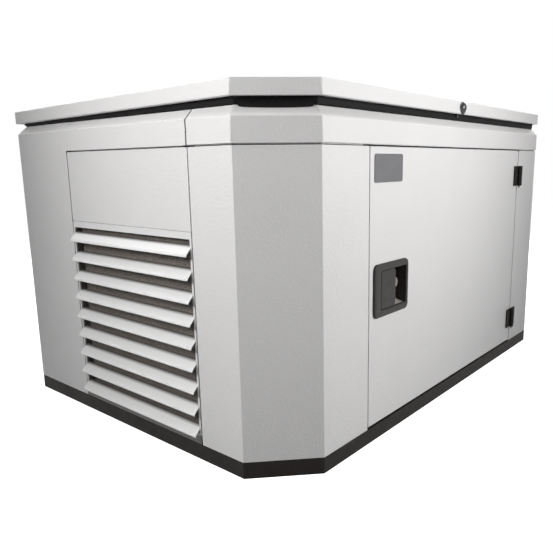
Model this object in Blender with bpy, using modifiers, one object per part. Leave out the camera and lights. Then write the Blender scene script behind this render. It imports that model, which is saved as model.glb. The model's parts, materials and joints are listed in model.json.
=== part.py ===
"""Home standby generator: a chamfered sheet-metal enclosure with a hinged lid and a front door, around an
air-cooled V-twin engine that drives an alternator. Origin at the bottom centre, +X along the length to the
right, -Y to the front, +Z up. Metres."""

import math

import bmesh
import bpy
from mathutils import Matrix, Vector

# Enclosure
LENGTH = 1.26
WIDTH = 0.85
HEIGHT = 0.70
CHAMFER_X = 0.107
CHAMFER_Y = 0.105
BASE_HEIGHT = 0.032
BASE_FLOOR = 0.010
BASE_RIM = 0.030
BASE_INSET = 0.002
ANCHOR_HOLE_RADIUS = 0.007
SHEET = 0.002
SEAM = 0.003
SEAT_GAP = 0.0003
PANEL_INSET = 0.002
PANEL_RETURN = 0.025
SHOULDER_HEIGHT = 0.018
SHOULDER_INSET = 0.017
SHOULDER_FLANGE = 0.016
HOOD_HEIGHT = 0.0435
HOOD_LIP = 0.018
LID_SKIRT = 0.028
LID_GAP = 0.014
LID_FALL = 0.008
LID_HEM = 0.010
SEAL_WIDTH = 0.010
SEAL_SETBACK = 0.0025
LINER_THICKNESS = 0.015
LINER_SETBACK = 0.012

# End panels and louvres
END_REAR_STRIP = 0.221
END_FRONT_STRIP = 0.1135
REAR_POST_STRIP = 0.120
LOUVRE_PITCH = 0.0437
LOUVRE_COUNT = 9
LOUVRE_FIRST_TIP = 0.050
BLADE_RUN = 0.0125
BLADE_RISE = 0.0125
BLADE_LIP = 0.0035
BLADE_SHEET = 0.0015
LOUVRE_STRIP = 0.005
LOUVRE_TOP_STRIP = 0.0135
LOUVRE_HEADROOM = 0.0149
LOUVRE_DEPTH = 0.016
END_PANEL_JOINT = 0.0006
BAFFLE_SETBACK = 0.075
BAFFLE_THICKNESS = 0.020
BAFFLE_HEIGHT = 0.50
PARTITION_EDGE = 0.010

# Door, its hinges, latch and rating plate
DOOR_LEFT_STRIP = 0.1436
DOOR_RIGHT_STRIP = 0.1396
DOOR_RETURN = 0.020
DOOR_BOTTOM_GAP = 0.004
HINGE_HEIGHT = 0.055
HINGE_LEAF = 0.030
HINGE_SHEET = 0.003
BARREL_RADIUS = 0.006
PIN_RADIUS = 0.003
PIN_CLEARANCE = 0.0003
UPPER_HINGE_DROP = 0.0705
LOWER_HINGE_RISE = 0.073
HINGE_CLEARANCE = 0.0008
HINGE_TIP = 0.006
HINGE_TIP_RADIUS = 0.001
LATCH_WIDTH = 0.129
LATCH_HEIGHT = 0.108
LATCH_FROM_DOOR_EDGE = 0.0144
LATCH_Z = 0.314
LATCH_FLANGE = 0.003
LATCH_CORNER = 0.012
DISH_WIDTH = 0.103
DISH_HEIGHT = 0.084
DISH_DEPTH = 0.028
DISH_WALL = 0.002
DISH_SHIFT = 0.007
PADDLE_WIDTH = 0.056
PADDLE_HEIGHT = 0.066
PADDLE_THICKNESS = 0.004
PADDLE_HEEL = 0.003
PADDLE_PIN_INSET = 0.005
PADDLE_CORNER = 0.004
PADDLE_PIN_RADIUS = 0.002
BOLT_SIZE = 0.010
BOLT_LENGTH = 0.078
BOLT_BEHIND_DISH = 0.004
BOLT_CLEARANCE = 0.0004
BOLT_NOSE_GAP = 0.0005
ARM_THICKNESS = 0.003
ARM_HEIGHT = 0.004
ARM_CLEARANCE = 0.0015
KEY_RADIUS = 0.0055
KEY_BACK = 0.006
KEY_RECESS = 0.004
KEY_SLOT_WIDTH = 0.0012
KEY_CAM_WIDTH = 0.008
KEY_CAM_THICKNESS = 0.003
KEY_CAM_LENGTH = 0.014
KEY_FROM_PADDLE = 0.0095
KEY_ABOVE_MIDDLE = 0.006
PLATE_WIDTH = 0.102
PLATE_HEIGHT = 0.054
PLATE_THICKNESS = 0.001
PLATE_FROM_DOOR_EDGE = 0.0155
PLATE_TOP_GAP = 0.0135
PLATE_CORNER = 0.005

# Lid lock and lid hinges
LOCK_RADIUS = 0.012
LOCK_SHAFT_RADIUS = 0.005
LOCK_SHAFT_CLEARANCE = 0.0008
LOCK_REACH = 0.0135
LOCK_BLADE_LENGTH = 0.021
LOCK_BLADE_WIDTH = 0.008
LOCK_BLADE_THICKNESS = 0.003
LOCK_DOME = 0.008
LID_HINGE_X = 0.40
LID_HINGE_DROP = 0.010

# Engine and alternator
CRANK_Y = 0.06
CRANK_Z = 0.235
CRADLE_HEIGHT = 0.030
MOUNT_HEIGHT = 0.040
MOUNT_RADIUS = 0.022
RAIL_WIDTH = 0.040
CRANKCASE_LEFT = -0.090
CRANKCASE_LENGTH = 0.240
CRANKCASE_HALF_WIDTH = 0.112
CYLINDER_SEAT = 0.105
INTAKE_SEAT = 0.125
CASTING_WALL = 0.010
CYLINDER_OFFSET = 0.030
BARREL_CORE_RADIUS = 0.046
FIN_RADIUS = 0.061
FIN_COUNT = 8
FIN_PITCH = 0.0125
FIN_THICKNESS = 0.004
HEAD_SIZE = 0.118
HEAD_HEIGHT = 0.050
COVER_SIZE = 0.090
COVER_HEIGHT = 0.028
DIPSTICK_FROM_END = 0.012
DIPSTICK_STANDOFF = 0.023
DIPSTICK_FOOT_DROP = 0.075
DIPSTICK_TUBE_RISE = 0.135
TUBE_RADIUS = 0.010
TUBE_BORE = 0.0075
TUBE_BOSS = 0.035
CAP_HEIGHT = 0.022
STICK_RADIUS = 0.003
STICK_LENGTH = 0.185
SHAFT_RADIUS = 0.016
ROTOR_RADIUS = 0.080
AIR_GAP = 0.003
STATOR_RADIUS = 0.125
STATOR_LENGTH = 0.240
ROTOR_LENGTH = 0.160
END_BELL_THICKNESS = 0.020
VENT_COUNT = 6
VENT_RADIUS = 0.024
VENT_CIRCLE = 0.068
FLYWHEEL_RADIUS = 0.128
FLYWHEEL_THICKNESS = 0.016
FAN_GAP = 0.012
HUB_LENGTH = 0.020
FAN_BLADES = 12
FAN_BLADE_THICKNESS = 0.003
FAN_BLADE_LENGTH = 0.058
FAN_BLADE_DEPTH = 0.032
BLOWER_RADIUS = 0.150
BLOWER_DEPTH = 0.082
BLOWER_WALL = 0.003
BLOWER_INLET_RADIUS = 0.095
CARBURETTOR_WIDTH = 0.050
RUNNER_RADIUS = 0.014
RUNNER_RISE = 0.057
RUNNER_SHOULDER = 0.055
RUNNER_LEAD = 0.010
RUNNER_BEND = 0.035
AIR_CLEANER_RADIUS = 0.055
AIR_CLEANER_LENGTH = 0.200
AIR_CLEANER_RISE = 0.070
CLEANER_LID_DEPTH = 0.035
CLEANER_EDGE = 0.006
CLEANER_NECK = 0.030
CLEANER_NECK_RADIUS = 0.020
PARTITION_GAP = 0.068
MUFFLER_RADIUS = 0.070
MUFFLER_LENGTH = 0.450
MUFFLER_WALL = 0.003
MUFFLER_EDGE = 0.010
LEG_WIDTH = 0.090
LEG_THICKNESS = 0.020
TAIL_PIPE_RADIUS = 0.020
TAIL_PIPE_DROP = 0.035
TAIL_PIPE_GAP = 0.020
PIPE_WALL = 0.002
PIPE_CLEARANCE = 0.008
EXHAUST_RADIUS = 0.018
FITTING_FROM_END = 0.150
FILTER_RADIUS = 0.036
FILTER_LENGTH = 0.088
FILTER_DROP = 0.085
STARTER_RADIUS = 0.036
STARTER_LENGTH = 0.160
STARTER_DROP = 0.095
SOLENOID_RADIUS = 0.018

# Battery, controls and fuel
BATTERY_SIZE = (0.240, 0.170, 0.175)
BATTERY_FROM_BAFFLE = 0.095
BATTERY_SETBACK = 0.050
POST_SETBACK = 0.030
POST_RADIUS = 0.008
CONTROL_LEFT = -0.160
CONTROL_SETBACK = 0.040
CONTROL_DEPTH = 0.115
CONTROL_DROP = 0.0215
CONTROL_HEIGHT = 0.160
CONTROL_SHARES = (0.14, 0.30, 0.84)
STOP_RADIUS = 0.016
STOP_TRAVEL = 0.005
SWITCH_RADIUS = 0.013
GRIP_WIDTH = 0.006
STEM_RADIUS = 0.007
STEM_CLEARANCE = 0.0004
KNOB_REACH = 0.012
STEM_DEPTH = 0.0175
TOGGLE_ANGLE = 20
TOGGLE_DEPTH = 0.010
TOGGLE_RADIUS = 0.006
TOGGLE_WIDTH = 0.0132
LEVER_LENGTH = 0.021
LEVER_THICKNESS = 0.005
FUEL_X = -0.250
FUEL_Z = 0.300
REGULATOR_RADIUS = 0.045
REGULATOR_DEPTH = 0.055
REGULATOR_RIM = 0.012
INLET_RADIUS = 0.012
INLET_REACH = 0.015
HOSE_RADIUS = 0.007
HOSE_RISE = 0.0243

# Worked out from the sizes above
HALF_LENGTH = LENGTH / 2
HALF_WIDTH = WIDTH / 2
LID_BOTTOM = HEIGHT - LID_SKIRT
SHOULDER_TOP = LID_BOTTOM - LID_GAP
SHOULDER_BOTTOM = SHOULDER_TOP - SHOULDER_HEIGHT
HOOD_BOTTOM = SHOULDER_BOTTOM - HOOD_HEIGHT
PANEL_TOP = HOOD_BOTTOM - SEAM
PANEL_BOTTOM = BASE_HEIGHT + SEAT_GAP
LOUVRE_SPAN = (LOUVRE_COUNT - 1) * LOUVRE_PITCH + BLADE_LIP + BLADE_RISE
LOUVRE_TOP = LOUVRE_FIRST_TIP + LOUVRE_SPAN + LOUVRE_HEADROOM + LOUVRE_TOP_STRIP
PANEL_BACK = PANEL_INSET + SHEET
LID_CEILING = HEIGHT - SHEET
SEAL_OUTER = SHOULDER_INSET + SEAL_SETBACK
SEAL_INNER = SEAL_OUTER + SEAL_WIDTH
REAR_SEAM_Y = HALF_WIDTH - END_REAR_STRIP
FRONT_SEAM_Y = -HALF_WIDTH + CHAMFER_Y + END_FRONT_STRIP
POST_X = HALF_LENGTH - REAR_POST_STRIP
DOOR_LEFT = -HALF_LENGTH + CHAMFER_X + DOOR_LEFT_STRIP
DOOR_RIGHT = HALF_LENGTH - CHAMFER_X - DOOR_RIGHT_STRIP
DOOR_FACE = -HALF_WIDTH + PANEL_INSET
DOOR_BOTTOM = BASE_HEIGHT + DOOR_BOTTOM_GAP
UPPER_HINGE_Z = PANEL_TOP - UPPER_HINGE_DROP
LOWER_HINGE_Z = BASE_HEIGHT + LOWER_HINGE_RISE
CRADLE_BOTTOM = BASE_FLOOR + MOUNT_HEIGHT
CRADLE_TOP = CRADLE_BOTTOM + CRADLE_HEIGHT
CRANKCASE_RIGHT = CRANKCASE_LEFT + CRANKCASE_LENGTH
CRANKCASE_MIDDLE = (CRANKCASE_LEFT + CRANKCASE_RIGHT) / 2
PARTITION_X = CRANKCASE_RIGHT + BLOWER_DEPTH + PARTITION_GAP
MUFFLER_X = (PARTITION_X + HALF_LENGTH) / 2
BAFFLE_LEFT = -HALF_LENGTH + BAFFLE_SETBACK
BATTERY_LEFT = BAFFLE_LEFT + BAFFLE_THICKNESS + BATTERY_FROM_BAFFLE
BATTERY_FRONT = -HALF_WIDTH + BATTERY_SETBACK
CONTROL_FRONT = -HALF_WIDTH + CONTROL_SETBACK
CONTROL_BOTTOM = HOOD_BOTTOM - CONTROL_DROP - CONTROL_HEIGHT
ROOT2 = math.sqrt(2)


def setup():
    for obj in list(bpy.data.objects):
        bpy.data.objects.remove(obj)
    parts = bpy.data.collections.new("home_standby_generator")
    cutters = bpy.data.collections.new("cutters")
    for collection in (parts, cutters):
        bpy.context.scene.collection.children.link(collection)
    return parts, cutters


PARTS, CUTTERS = setup()


def material(name, colour, roughness, metallic=0.0):
    made = bpy.data.materials.new(name)
    made.use_nodes = True
    shader = made.node_tree.nodes["Principled BSDF"]
    shader.inputs["Base Color"].default_value = (*colour, 1.0)
    shader.inputs["Roughness"].default_value = roughness
    shader.inputs["Metallic"].default_value = metallic
    return made


# ---------------------------------------------------------------- building blocks


def add(name, source, finish=None, pivot=None):
    """Links a mesh object made from a bmesh. Without a finish it is a helper for Booleans."""
    mesh = bpy.data.meshes.new(name)
    source.to_mesh(mesh)
    source.free()
    obj = bpy.data.objects.new(name, mesh)
    if finish is None:
        CUTTERS.objects.link(obj)
        obj.hide_render = True
        obj.display_type = "WIRE"
    else:
        PARTS.objects.link(obj)
        mesh.materials.append(finish)
        mesh.shade_smooth()
        mesh.set_sharp_from_angle(angle=math.radians(35))
    if pivot is not None:
        obj.parent = pivot
        obj.matrix_parent_inverse = Matrix.Translation(-pivot.location)
    return obj


def joint(name, location):
    """An empty on a joint's axis, the parent of the pieces that move with it."""
    empty = bpy.data.objects.new(name, None)
    empty.location = location
    empty.empty_display_size = 0.05
    PARTS.objects.link(empty)
    return empty


def along(direction):
    """Rotation that turns +Z to the direction."""
    return Vector((0, 0, 1)).rotation_difference(Vector(direction)).to_matrix().to_4x4()


def box(name, low, high, finish=None, pivot=None, bevel=0.0, turn=None):
    low, high = Vector(low), Vector(high)
    placed = Matrix.Translation((low + high) / 2) @ Matrix.Diagonal((*(high - low), 1.0))
    source = bmesh.new()
    bmesh.ops.create_cube(source, size=1.0, matrix=(turn or Matrix()) @ placed)
    obj = add(name, source, finish, pivot)
    if bevel:
        rounding(obj, bevel)
    return obj


def cylinder(name, start, end, radius, finish=None, pivot=None, end_radius=None, sides=32):
    start, end = Vector(start), Vector(end)
    placed = Matrix.Translation((start + end) / 2) @ along(end - start)
    source = bmesh.new()
    bmesh.ops.create_cone(
        source,
        cap_ends=True,
        segments=sides,
        radius1=radius,
        radius2=radius if end_radius is None else end_radius,
        depth=(end - start).length,
        matrix=placed,
    )
    return add(name, source, finish, pivot)


def turned(name, profile, start, direction, finish=None, pivot=None, steps=32):
    """Turns a profile of (radius, distance) points, listed from the far end, about the direction."""
    source = bmesh.new()
    points = [source.verts.new((radius, 0, distance)) for radius, distance in profile]
    for first, second in zip(points, points[1:]):
        source.edges.new((first, second))
    obj = add(name, source, finish)
    obj.matrix_world = Matrix.Translation(start) @ along(direction)
    if pivot is not None:
        obj.parent = pivot
        obj.matrix_parent_inverse = Matrix.Translation(-pivot.location)
    screw = obj.modifiers.new("turn", "SCREW")
    screw.axis = "Z"
    screw.steps = steps
    screw.render_steps = steps
    screw.use_merge_vertices = True
    screw.merge_threshold = 0.00005
    return obj


def tube(name, points, radius, finish=None, resolution=3, pivot=None):
    """A round bar or hose along a smooth curve through the points, as a closed mesh."""
    curve = bpy.data.curves.new(name, "CURVE")
    curve.dimensions = "3D"
    curve.bevel_depth = radius
    curve.bevel_resolution = resolution
    curve.use_fill_caps = True
    spline = curve.splines.new("POLY")
    route = smooth_route([Vector(point) for point in points])
    spline.points.add(len(route) - 1)
    for target, point in zip(spline.points, route):
        target.co = (*point, 1.0)
    guide = bpy.data.objects.new(name + "_route", curve)
    CUTTERS.objects.link(guide)
    bpy.context.view_layer.update()
    mesh = bpy.data.meshes.new_from_object(guide.evaluated_get(bpy.context.evaluated_depsgraph_get()))
    source = bmesh.new()
    source.from_mesh(mesh)
    bpy.data.meshes.remove(mesh)
    bmesh.ops.remove_doubles(source, verts=source.verts, dist=0.00001)
    bpy.data.objects.remove(guide)
    return add(name, source, finish, pivot)


def smooth_route(points, steps=4):
    """Catmull-Rom points through the given ones. The first and the last stretch stay straight."""
    if len(points) < 4:
        return points
    route = [points[0]]
    for index in range(1, len(points) - 2):
        before, start, end, after = points[index - 1 : index + 3]
        for step in range(steps):
            t = step / steps
            bend = 2 * before - 5 * start + 4 * end - after
            twist = 3 * start - before - 3 * end + after
            route.append(start + 0.5 * t * ((end - before) + t * (bend + t * twist)))
    return [*route, points[-2], points[-1]]


def outline(name, points, low, high, finish=None, axis="Z", pivot=None):
    """A flat outline extruded from low to high along an axis; its points are in the other two axes."""
    place = {
        "X": lambda a, b, along_axis: (along_axis, a, b),
        "Y": lambda a, b, along_axis: (a, along_axis, b),
        "Z": lambda a, b, along_axis: (a, b, along_axis),
    }[axis]
    source = bmesh.new()
    face = source.faces.new([source.verts.new(place(a, b, low)) for a, b in points])
    made = bmesh.ops.extrude_face_region(source, geom=[face])
    shift = Vector(place(0, 0, high)) - Vector(place(0, 0, low))
    moved = [item for item in made["geom"] if isinstance(item, bmesh.types.BMVert)]
    bmesh.ops.translate(source, verts=moved, vec=shift)
    bmesh.ops.recalc_face_normals(source, faces=source.faces)
    return add(name, source, finish, pivot)


def rounding(obj, width, segments=2):
    bevel = obj.modifiers.new("rounding", "BEVEL")
    bevel.width = width
    bevel.segments = segments
    bevel.limit_method = "ANGLE"
    bevel.angle_limit = math.radians(40)


def combine(obj, other, operation="DIFFERENCE"):
    boolean = obj.modifiers.new(operation.lower(), "BOOLEAN")
    boolean.operation = operation
    boolean.object = other
    return obj


def weld(obj, *others):
    for other in others:
        combine(obj, other, "UNION")
    return obj


def bore(obj, *others):
    for other in others:
        combine(obj, other)
    return obj


def thicken(obj, thickness=SHEET):
    """Gives an open surface its thickness on the side away from its normals, the same at every bend."""
    solid = obj.modifiers.new("sheet", "SOLIDIFY")
    solid.solidify_mode = "NON_MANIFOLD"
    solid.nonmanifold_thickness_mode = "CONSTRAINTS"
    solid.thickness = thickness
    solid.offset = -1.0
    return obj


def bent_sheet(name, path, rows, finish, pivot=None, closed=False, cap=False):
    """A folded sheet. path(inset) gives plan points, anticlockwise from above; rows are (inset, height)."""
    source = bmesh.new()
    lines = [[source.verts.new((x, y, height)) for x, y in path(inset)] for inset, height in rows]
    count = len(lines[0])
    for lower, upper in zip(lines, lines[1:]):
        for index in range(count if closed else count - 1):
            after = (index + 1) % count
            source.faces.new((lower[index], lower[after], upper[after], upper[index]))
    if cap:
        source.faces.new(lines[-1])
    return thicken(add(name, source, finish, pivot))


def ring(name, path, rows, finish, pivot=None):
    """A closed section of (inset, height) points swept round a closed path."""
    source = bmesh.new()
    lines = [[source.verts.new((x, y, height)) for x, y in path(inset)] for inset, height in rows]
    count = len(lines[0])
    for lower, upper in zip(lines, [*lines[1:], lines[0]]):
        for index in range(count):
            after = (index + 1) % count
            source.faces.new((lower[index], lower[after], upper[after], upper[index]))
    bmesh.ops.recalc_face_normals(source, faces=source.faces)
    return add(name, source, finish, pivot)


# ---------------------------------------------------------------- plan of the enclosure


def chamfer_side(inset):
    """Where the chamfer meets the left end, moved in by the inset."""
    slant = math.hypot(CHAMFER_X, CHAMFER_Y)
    return (-HALF_LENGTH + inset, -HALF_WIDTH + CHAMFER_Y + inset * (slant - CHAMFER_Y) / CHAMFER_X)


def chamfer_front(inset):
    """Where the chamfer meets the front, moved in by the inset."""
    slant = math.hypot(CHAMFER_X, CHAMFER_Y)
    return (-HALF_LENGTH + CHAMFER_X + inset * (slant - CHAMFER_X) / CHAMFER_Y, -HALF_WIDTH + inset)


def mirrored(path):
    return lambda inset: [(-x, y) for x, y in reversed(path(inset))]


def plan(inset):
    left = [(-HALF_LENGTH + inset, HALF_WIDTH - inset), chamfer_side(inset), chamfer_front(inset)]
    return left + [(-x, y) for x, y in reversed(left)]


def hood_path(inset):
    left = [(-HALF_LENGTH + inset, FRONT_SEAM_Y - SEAM / 2), chamfer_side(inset), chamfer_front(inset)]
    return left + [(-x, y) for x, y in reversed(left)]


def band_path(inset):
    edge = -HALF_LENGTH + inset
    return [(edge, REAR_SEAM_Y - SEAM / 2), (edge, FRONT_SEAM_Y + SEAM / 2)]


def corner_path(door_seam):
    def path(inset):
        edge = FRONT_SEAM_Y - SEAM / 2
        return [
            (-HALF_LENGTH + PANEL_RETURN, edge),
            (-HALF_LENGTH + inset, edge),
            chamfer_side(inset),
            chamfer_front(inset),
            (door_seam - SEAM / 2, -HALF_WIDTH + inset),
            (door_seam - SEAM / 2, -HALF_WIDTH + PANEL_RETURN),
        ]

    return path


def end_panel_path(inset):
    return [
        (-HALF_LENGTH + PANEL_RETURN, REAR_SEAM_Y - SEAM / 2),
        (-HALF_LENGTH + inset, REAR_SEAM_Y - SEAM / 2),
        (-HALF_LENGTH + inset, FRONT_SEAM_Y + SEAM / 2),
        (-HALF_LENGTH + PANEL_RETURN, FRONT_SEAM_Y + SEAM / 2),
    ]


def post_path(inset):
    return [
        (-POST_X - SEAM / 2, HALF_WIDTH - inset),
        (-HALF_LENGTH + inset, HALF_WIDTH - inset),
        (-HALF_LENGTH + inset, REAR_SEAM_Y + SEAM / 2),
    ]


def rear_path(inset):
    return [(POST_X - SEAM / 2, HALF_WIDTH - inset), (-POST_X + SEAM / 2, HALF_WIDTH - inset)]


# ---------------------------------------------------------------- enclosure


def make_base(black):
    base = outline("base_frame", plan(BASE_INSET), 0, BASE_HEIGHT, black)
    well = outline("base_well", plan(BASE_INSET + BASE_RIM), BASE_FLOOR, BASE_HEIGHT + SHEET)
    bore(base, well)
    x = HALF_LENGTH - CHAMFER_X - BASE_RIM
    y = HALF_WIDTH - 2 * BASE_RIM
    for corner in ((-x, -y), (x, -y), (-x, y), (x, y)):
        ends = (*corner, -SHEET), (*corner, BASE_HEIGHT)
        bore(base, cylinder("anchor_hole", *ends, ANCHOR_HOLE_RADIUS, sides=16))


def make_shell(paint):
    wall = [(PANEL_INSET, PANEL_BOTTOM), (PANEL_INSET, PANEL_TOP)]
    shoulder = [
        (SHOULDER_INSET, SHOULDER_TOP),
        (SHOULDER_INSET + SHOULDER_FLANGE, SHOULDER_TOP),
    ]
    tall = [(PANEL_INSET, PANEL_BOTTOM), (PANEL_INSET, SHOULDER_BOTTOM), *shoulder]
    lip = PANEL_BACK + 2 * SEAT_GAP
    band = [
        (lip, HOOD_BOTTOM - HOOD_LIP),
        (lip, HOOD_BOTTOM),
        (0, HOOD_BOTTOM),
        (0, SHOULDER_BOTTOM),
        *shoulder,
    ]
    bent_sheet("left_corner_panel", corner_path(DOOR_LEFT), wall, paint)
    bent_sheet("right_corner_panel", mirrored(corner_path(-DOOR_RIGHT)), wall, paint)
    hood = bent_sheet("front_hood", hood_path, band, paint)
    trim_lip(hood, (DOOR_LEFT - HOOD_LIP, -HALF_WIDTH), (DOOR_RIGHT + HOOD_LIP, -HALF_WIDTH + HOOD_LIP))
    inner = HALF_LENGTH - HOOD_LIP
    sides = [("left", band_path, -HALF_LENGTH, -inner), ("right", mirrored(band_path), inner, HALF_LENGTH)]
    for side, path, low, high in sides:
        end_band = bent_sheet(side + "_hood_band", path, band, paint)
        trim_lip(hood, (low, FRONT_SEAM_Y - HOOD_LIP), (high, FRONT_SEAM_Y))
        trim_lip(end_band, (low, FRONT_SEAM_Y), (high, FRONT_SEAM_Y + HOOD_LIP))
        trim_lip(end_band, (low, REAR_SEAM_Y - HOOD_LIP), (high, REAR_SEAM_Y))
    bent_sheet("rear_left_post", post_path, tall, paint)
    bent_sheet("rear_right_post", mirrored(post_path), tall, paint)
    rear = bent_sheet("rear_panel", rear_path, tall, paint)
    ends = (FUEL_X, HALF_WIDTH - PANEL_BACK - SHEET, FUEL_Z), (FUEL_X, HALF_WIDTH + SHEET, FUEL_Z)
    bore(rear, cylinder("inlet_hole", *ends, INLET_RADIUS + SEAT_GAP))
    low = LOUVRE_TOP + END_PANEL_JOINT
    upper = [(PANEL_INSET, low), (PANEL_INSET, PANEL_TOP)]
    bent_sheet("left_end_panel", end_panel_path, upper, paint)
    bent_sheet("right_end_panel", mirrored(end_panel_path), upper, paint)


def trim_lip(sheet, low, high):
    """Cuts the joggled lip away between two plan points, where a neighbour has its folded edge."""
    margin = SHEET / 2
    start = (low[0] - margin, low[1] - margin, HOOD_BOTTOM - 2 * HOOD_LIP)
    end = (high[0] + margin, high[1] + margin, HOOD_BOTTOM - SEAT_GAP)
    bore(sheet, box("lip_cut", start, end))


def blade_section():
    """Section of one blade in (outward distance, height), from its tip round to its root."""
    root = -SHEET
    slope = BLADE_RISE / BLADE_RUN
    shift = BLADE_SHEET * math.hypot(1, slope)
    top = BLADE_LIP + BLADE_RISE - slope * root
    return [
        (BLADE_RUN, 0),
        (BLADE_RUN, BLADE_LIP),
        (root, top),
        (root, top - shift),
        (BLADE_RUN - BLADE_SHEET, BLADE_LIP + slope * BLADE_SHEET - shift),
        (BLADE_RUN - BLADE_SHEET, 0),
    ]


def make_louvre_panel(name, side, paint):
    """Frame with pressed blades. side is -1 at the left end and 1 at the right."""
    face = side * (HALF_LENGTH - PANEL_INSET)
    front, rear = FRONT_SEAM_Y + SEAM / 2, REAR_SEAM_Y - SEAM / 2
    back = face - side * LOUVRE_DEPTH
    panel = box(name, (min(face, back), front, PANEL_BOTTOM), (max(face, back), rear, LOUVRE_TOP), paint)
    window_low = LOUVRE_FIRST_TIP + BLADE_LIP
    window_high = LOUVRE_TOP - LOUVRE_TOP_STRIP
    reach = 2 * LOUVRE_DEPTH
    window = box(
        "louvre_window",
        (face - reach, front + LOUVRE_STRIP, window_low),
        (face + reach, rear - LOUVRE_STRIP, window_high),
    )
    bore(panel, window)
    for index in range(LOUVRE_COUNT):
        tip = LOUVRE_FIRST_TIP + index * LOUVRE_PITCH
        section = [(face + side * out, tip + up) for out, up in blade_section()]
        overlap = LOUVRE_STRIP / 2
        blade = outline("blade", section, front + overlap, rear - overlap, axis="Y")
        weld(panel, blade)
    return panel


def lean(obj, above=0.0):
    """Lowers what lies above a height towards the rear, by the lid's fall, so that rain runs off."""
    for vertex in obj.data.vertices:
        if vertex.co.z > above:
            vertex.co.z -= LID_FALL * (vertex.co.y + HALF_WIDTH) / WIDTH
    return obj


def make_seal(rubber):
    low, high = SHOULDER_TOP + SEAT_GAP, LID_CEILING - SEAT_GAP
    rows = [(SEAL_OUTER, low), (SEAL_OUTER, high), (SEAL_INNER, high), (SEAL_INNER, low)]
    lean(ring("lid_seal", plan, rows, rubber), above=(low + high) / 2)


def make_baffles(steel, foam):
    low = (BAFFLE_LEFT, FRONT_SEAM_Y - 2 * BASE_RIM, BASE_FLOOR + SEAT_GAP)
    high = (BAFFLE_LEFT + BAFFLE_THICKNESS, HALF_WIDTH - 3 * BASE_RIM, BAFFLE_HEIGHT)
    box("intake_baffle", low, high, foam)
    edge = HALF_WIDTH - BASE_RIM - PARTITION_EDGE
    low = (PARTITION_X, -edge, BASE_FLOOR + SEAT_GAP)
    partition = box("partition", low, (PARTITION_X + SHEET, edge, SHOULDER_TOP - PARTITION_EDGE), steel)
    reach = Vector((2 * SHEET, 0, 0))
    fan = Vector((PARTITION_X, CRANK_Y, CRANK_Z))
    bore(partition, cylinder("fan_window", fan - reach, fan + reach, BLOWER_INLET_RADIUS))
    for port in exhaust_ports():
        hole = Vector((PARTITION_X, port.y, port.z))
        size = EXHAUST_RADIUS + PIPE_CLEARANCE
        bore(partition, cylinder("pipe_hole", hole - reach, hole + reach, size, sides=24))


# ---------------------------------------------------------------- hinges


def hinge_half(name, centre, leaf_side, behind, extra, with_pin, finish, pivot=None):
    """One half of a lift-off hinge. leaf_side points from the pin along the leaf and behind from the pin
    to the panel, which lies extra further back. The half with the pin has the lower knuckle."""
    leaf_side, behind = Vector(leaf_side), Vector(behind)
    axis = leaf_side.cross(behind)
    frame = Matrix.Translation(centre) @ Matrix((leaf_side, behind, axis)).transposed().to_4x4()
    half = HINGE_HEIGHT / 2
    split = SEAT_GAP / 2
    upper = axis.z + axis.x > 0
    low, high = (-half, -split) if with_pin == upper else (split, half)

    def place(distance):
        return frame @ Vector((0, 0, distance))

    knuckle = cylinder(name, place(low), place(high), BARREL_RADIUS, finish, pivot, sides=24)
    clear = BARREL_RADIUS + HINGE_CLEARANCE
    front = BARREL_RADIUS - HINGE_SHEET
    leaf = box(name + "_leaf", (clear, front, -half), (HINGE_LEAF, BARREL_RADIUS + extra, half), turn=frame)
    neck = box(name + "_neck", (0, front, low), (clear + SEAT_GAP, BARREL_RADIUS, high), turn=frame)
    weld(knuckle, leaf, neck)
    end = -half if upper else half
    outward = -1 if upper else 1
    root = place(end - outward * SHEET / 2)
    if with_pin:
        pin = cylinder(name + "_pin", root, place(-end), PIN_RADIUS, sides=16)
        tip = place(end + outward * HINGE_TIP)
        point = cylinder(name + "_tip", tip, root, HINGE_TIP_RADIUS, end_radius=PIN_RADIUS, sides=16)
        weld(knuckle, pin, point)
    else:
        hole = PIN_RADIUS + PIN_CLEARANCE
        bore(knuckle, cylinder(name + "_bore", root, place(-end - outward * SHEET / 2), hole, sides=16))
    return knuckle


def lid_hinge_axis():
    height = LID_BOTTOM - LID_FALL - LID_HINGE_DROP + SHEET
    return Vector((0, HALF_WIDTH + SEAT_GAP + BARREL_RADIUS, height))


def door_hinge_axis():
    return Vector((DOOR_RIGHT, DOOR_FACE - SEAT_GAP - BARREL_RADIUS, 0))


def make_hinges(black, lid_pivot, door_pivot):
    front, rear = (0, -1, 0), (0, 1, 0)
    for side, x in (("left", -LID_HINGE_X), ("right", LID_HINGE_X)):
        centre = lid_hinge_axis() + Vector((x, 0, 0))
        hinge_half("lid_hinge_base_" + side, centre, (0, 0, -1), front, PANEL_INSET, True, black)
        hinge_half("lid_hinge_leaf_" + side, centre, (0, 0, 1), front, 0, False, black, lid_pivot)
    for level, z in (("upper", UPPER_HINGE_Z), ("lower", LOWER_HINGE_Z)):
        centre = door_hinge_axis() + Vector((0, 0, z))
        hinge_half("door_hinge_base_" + level, centre, (1, 0, 0), rear, 0, True, black)
        hinge_half("door_hinge_leaf_" + level, centre, (-1, 0, 0), rear, 0, False, black, door_pivot)


# ---------------------------------------------------------------- lid


def lock_centre():
    return Vector((0, -HALF_WIDTH, (LID_BOTTOM + HEIGHT) / 2))


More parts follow.
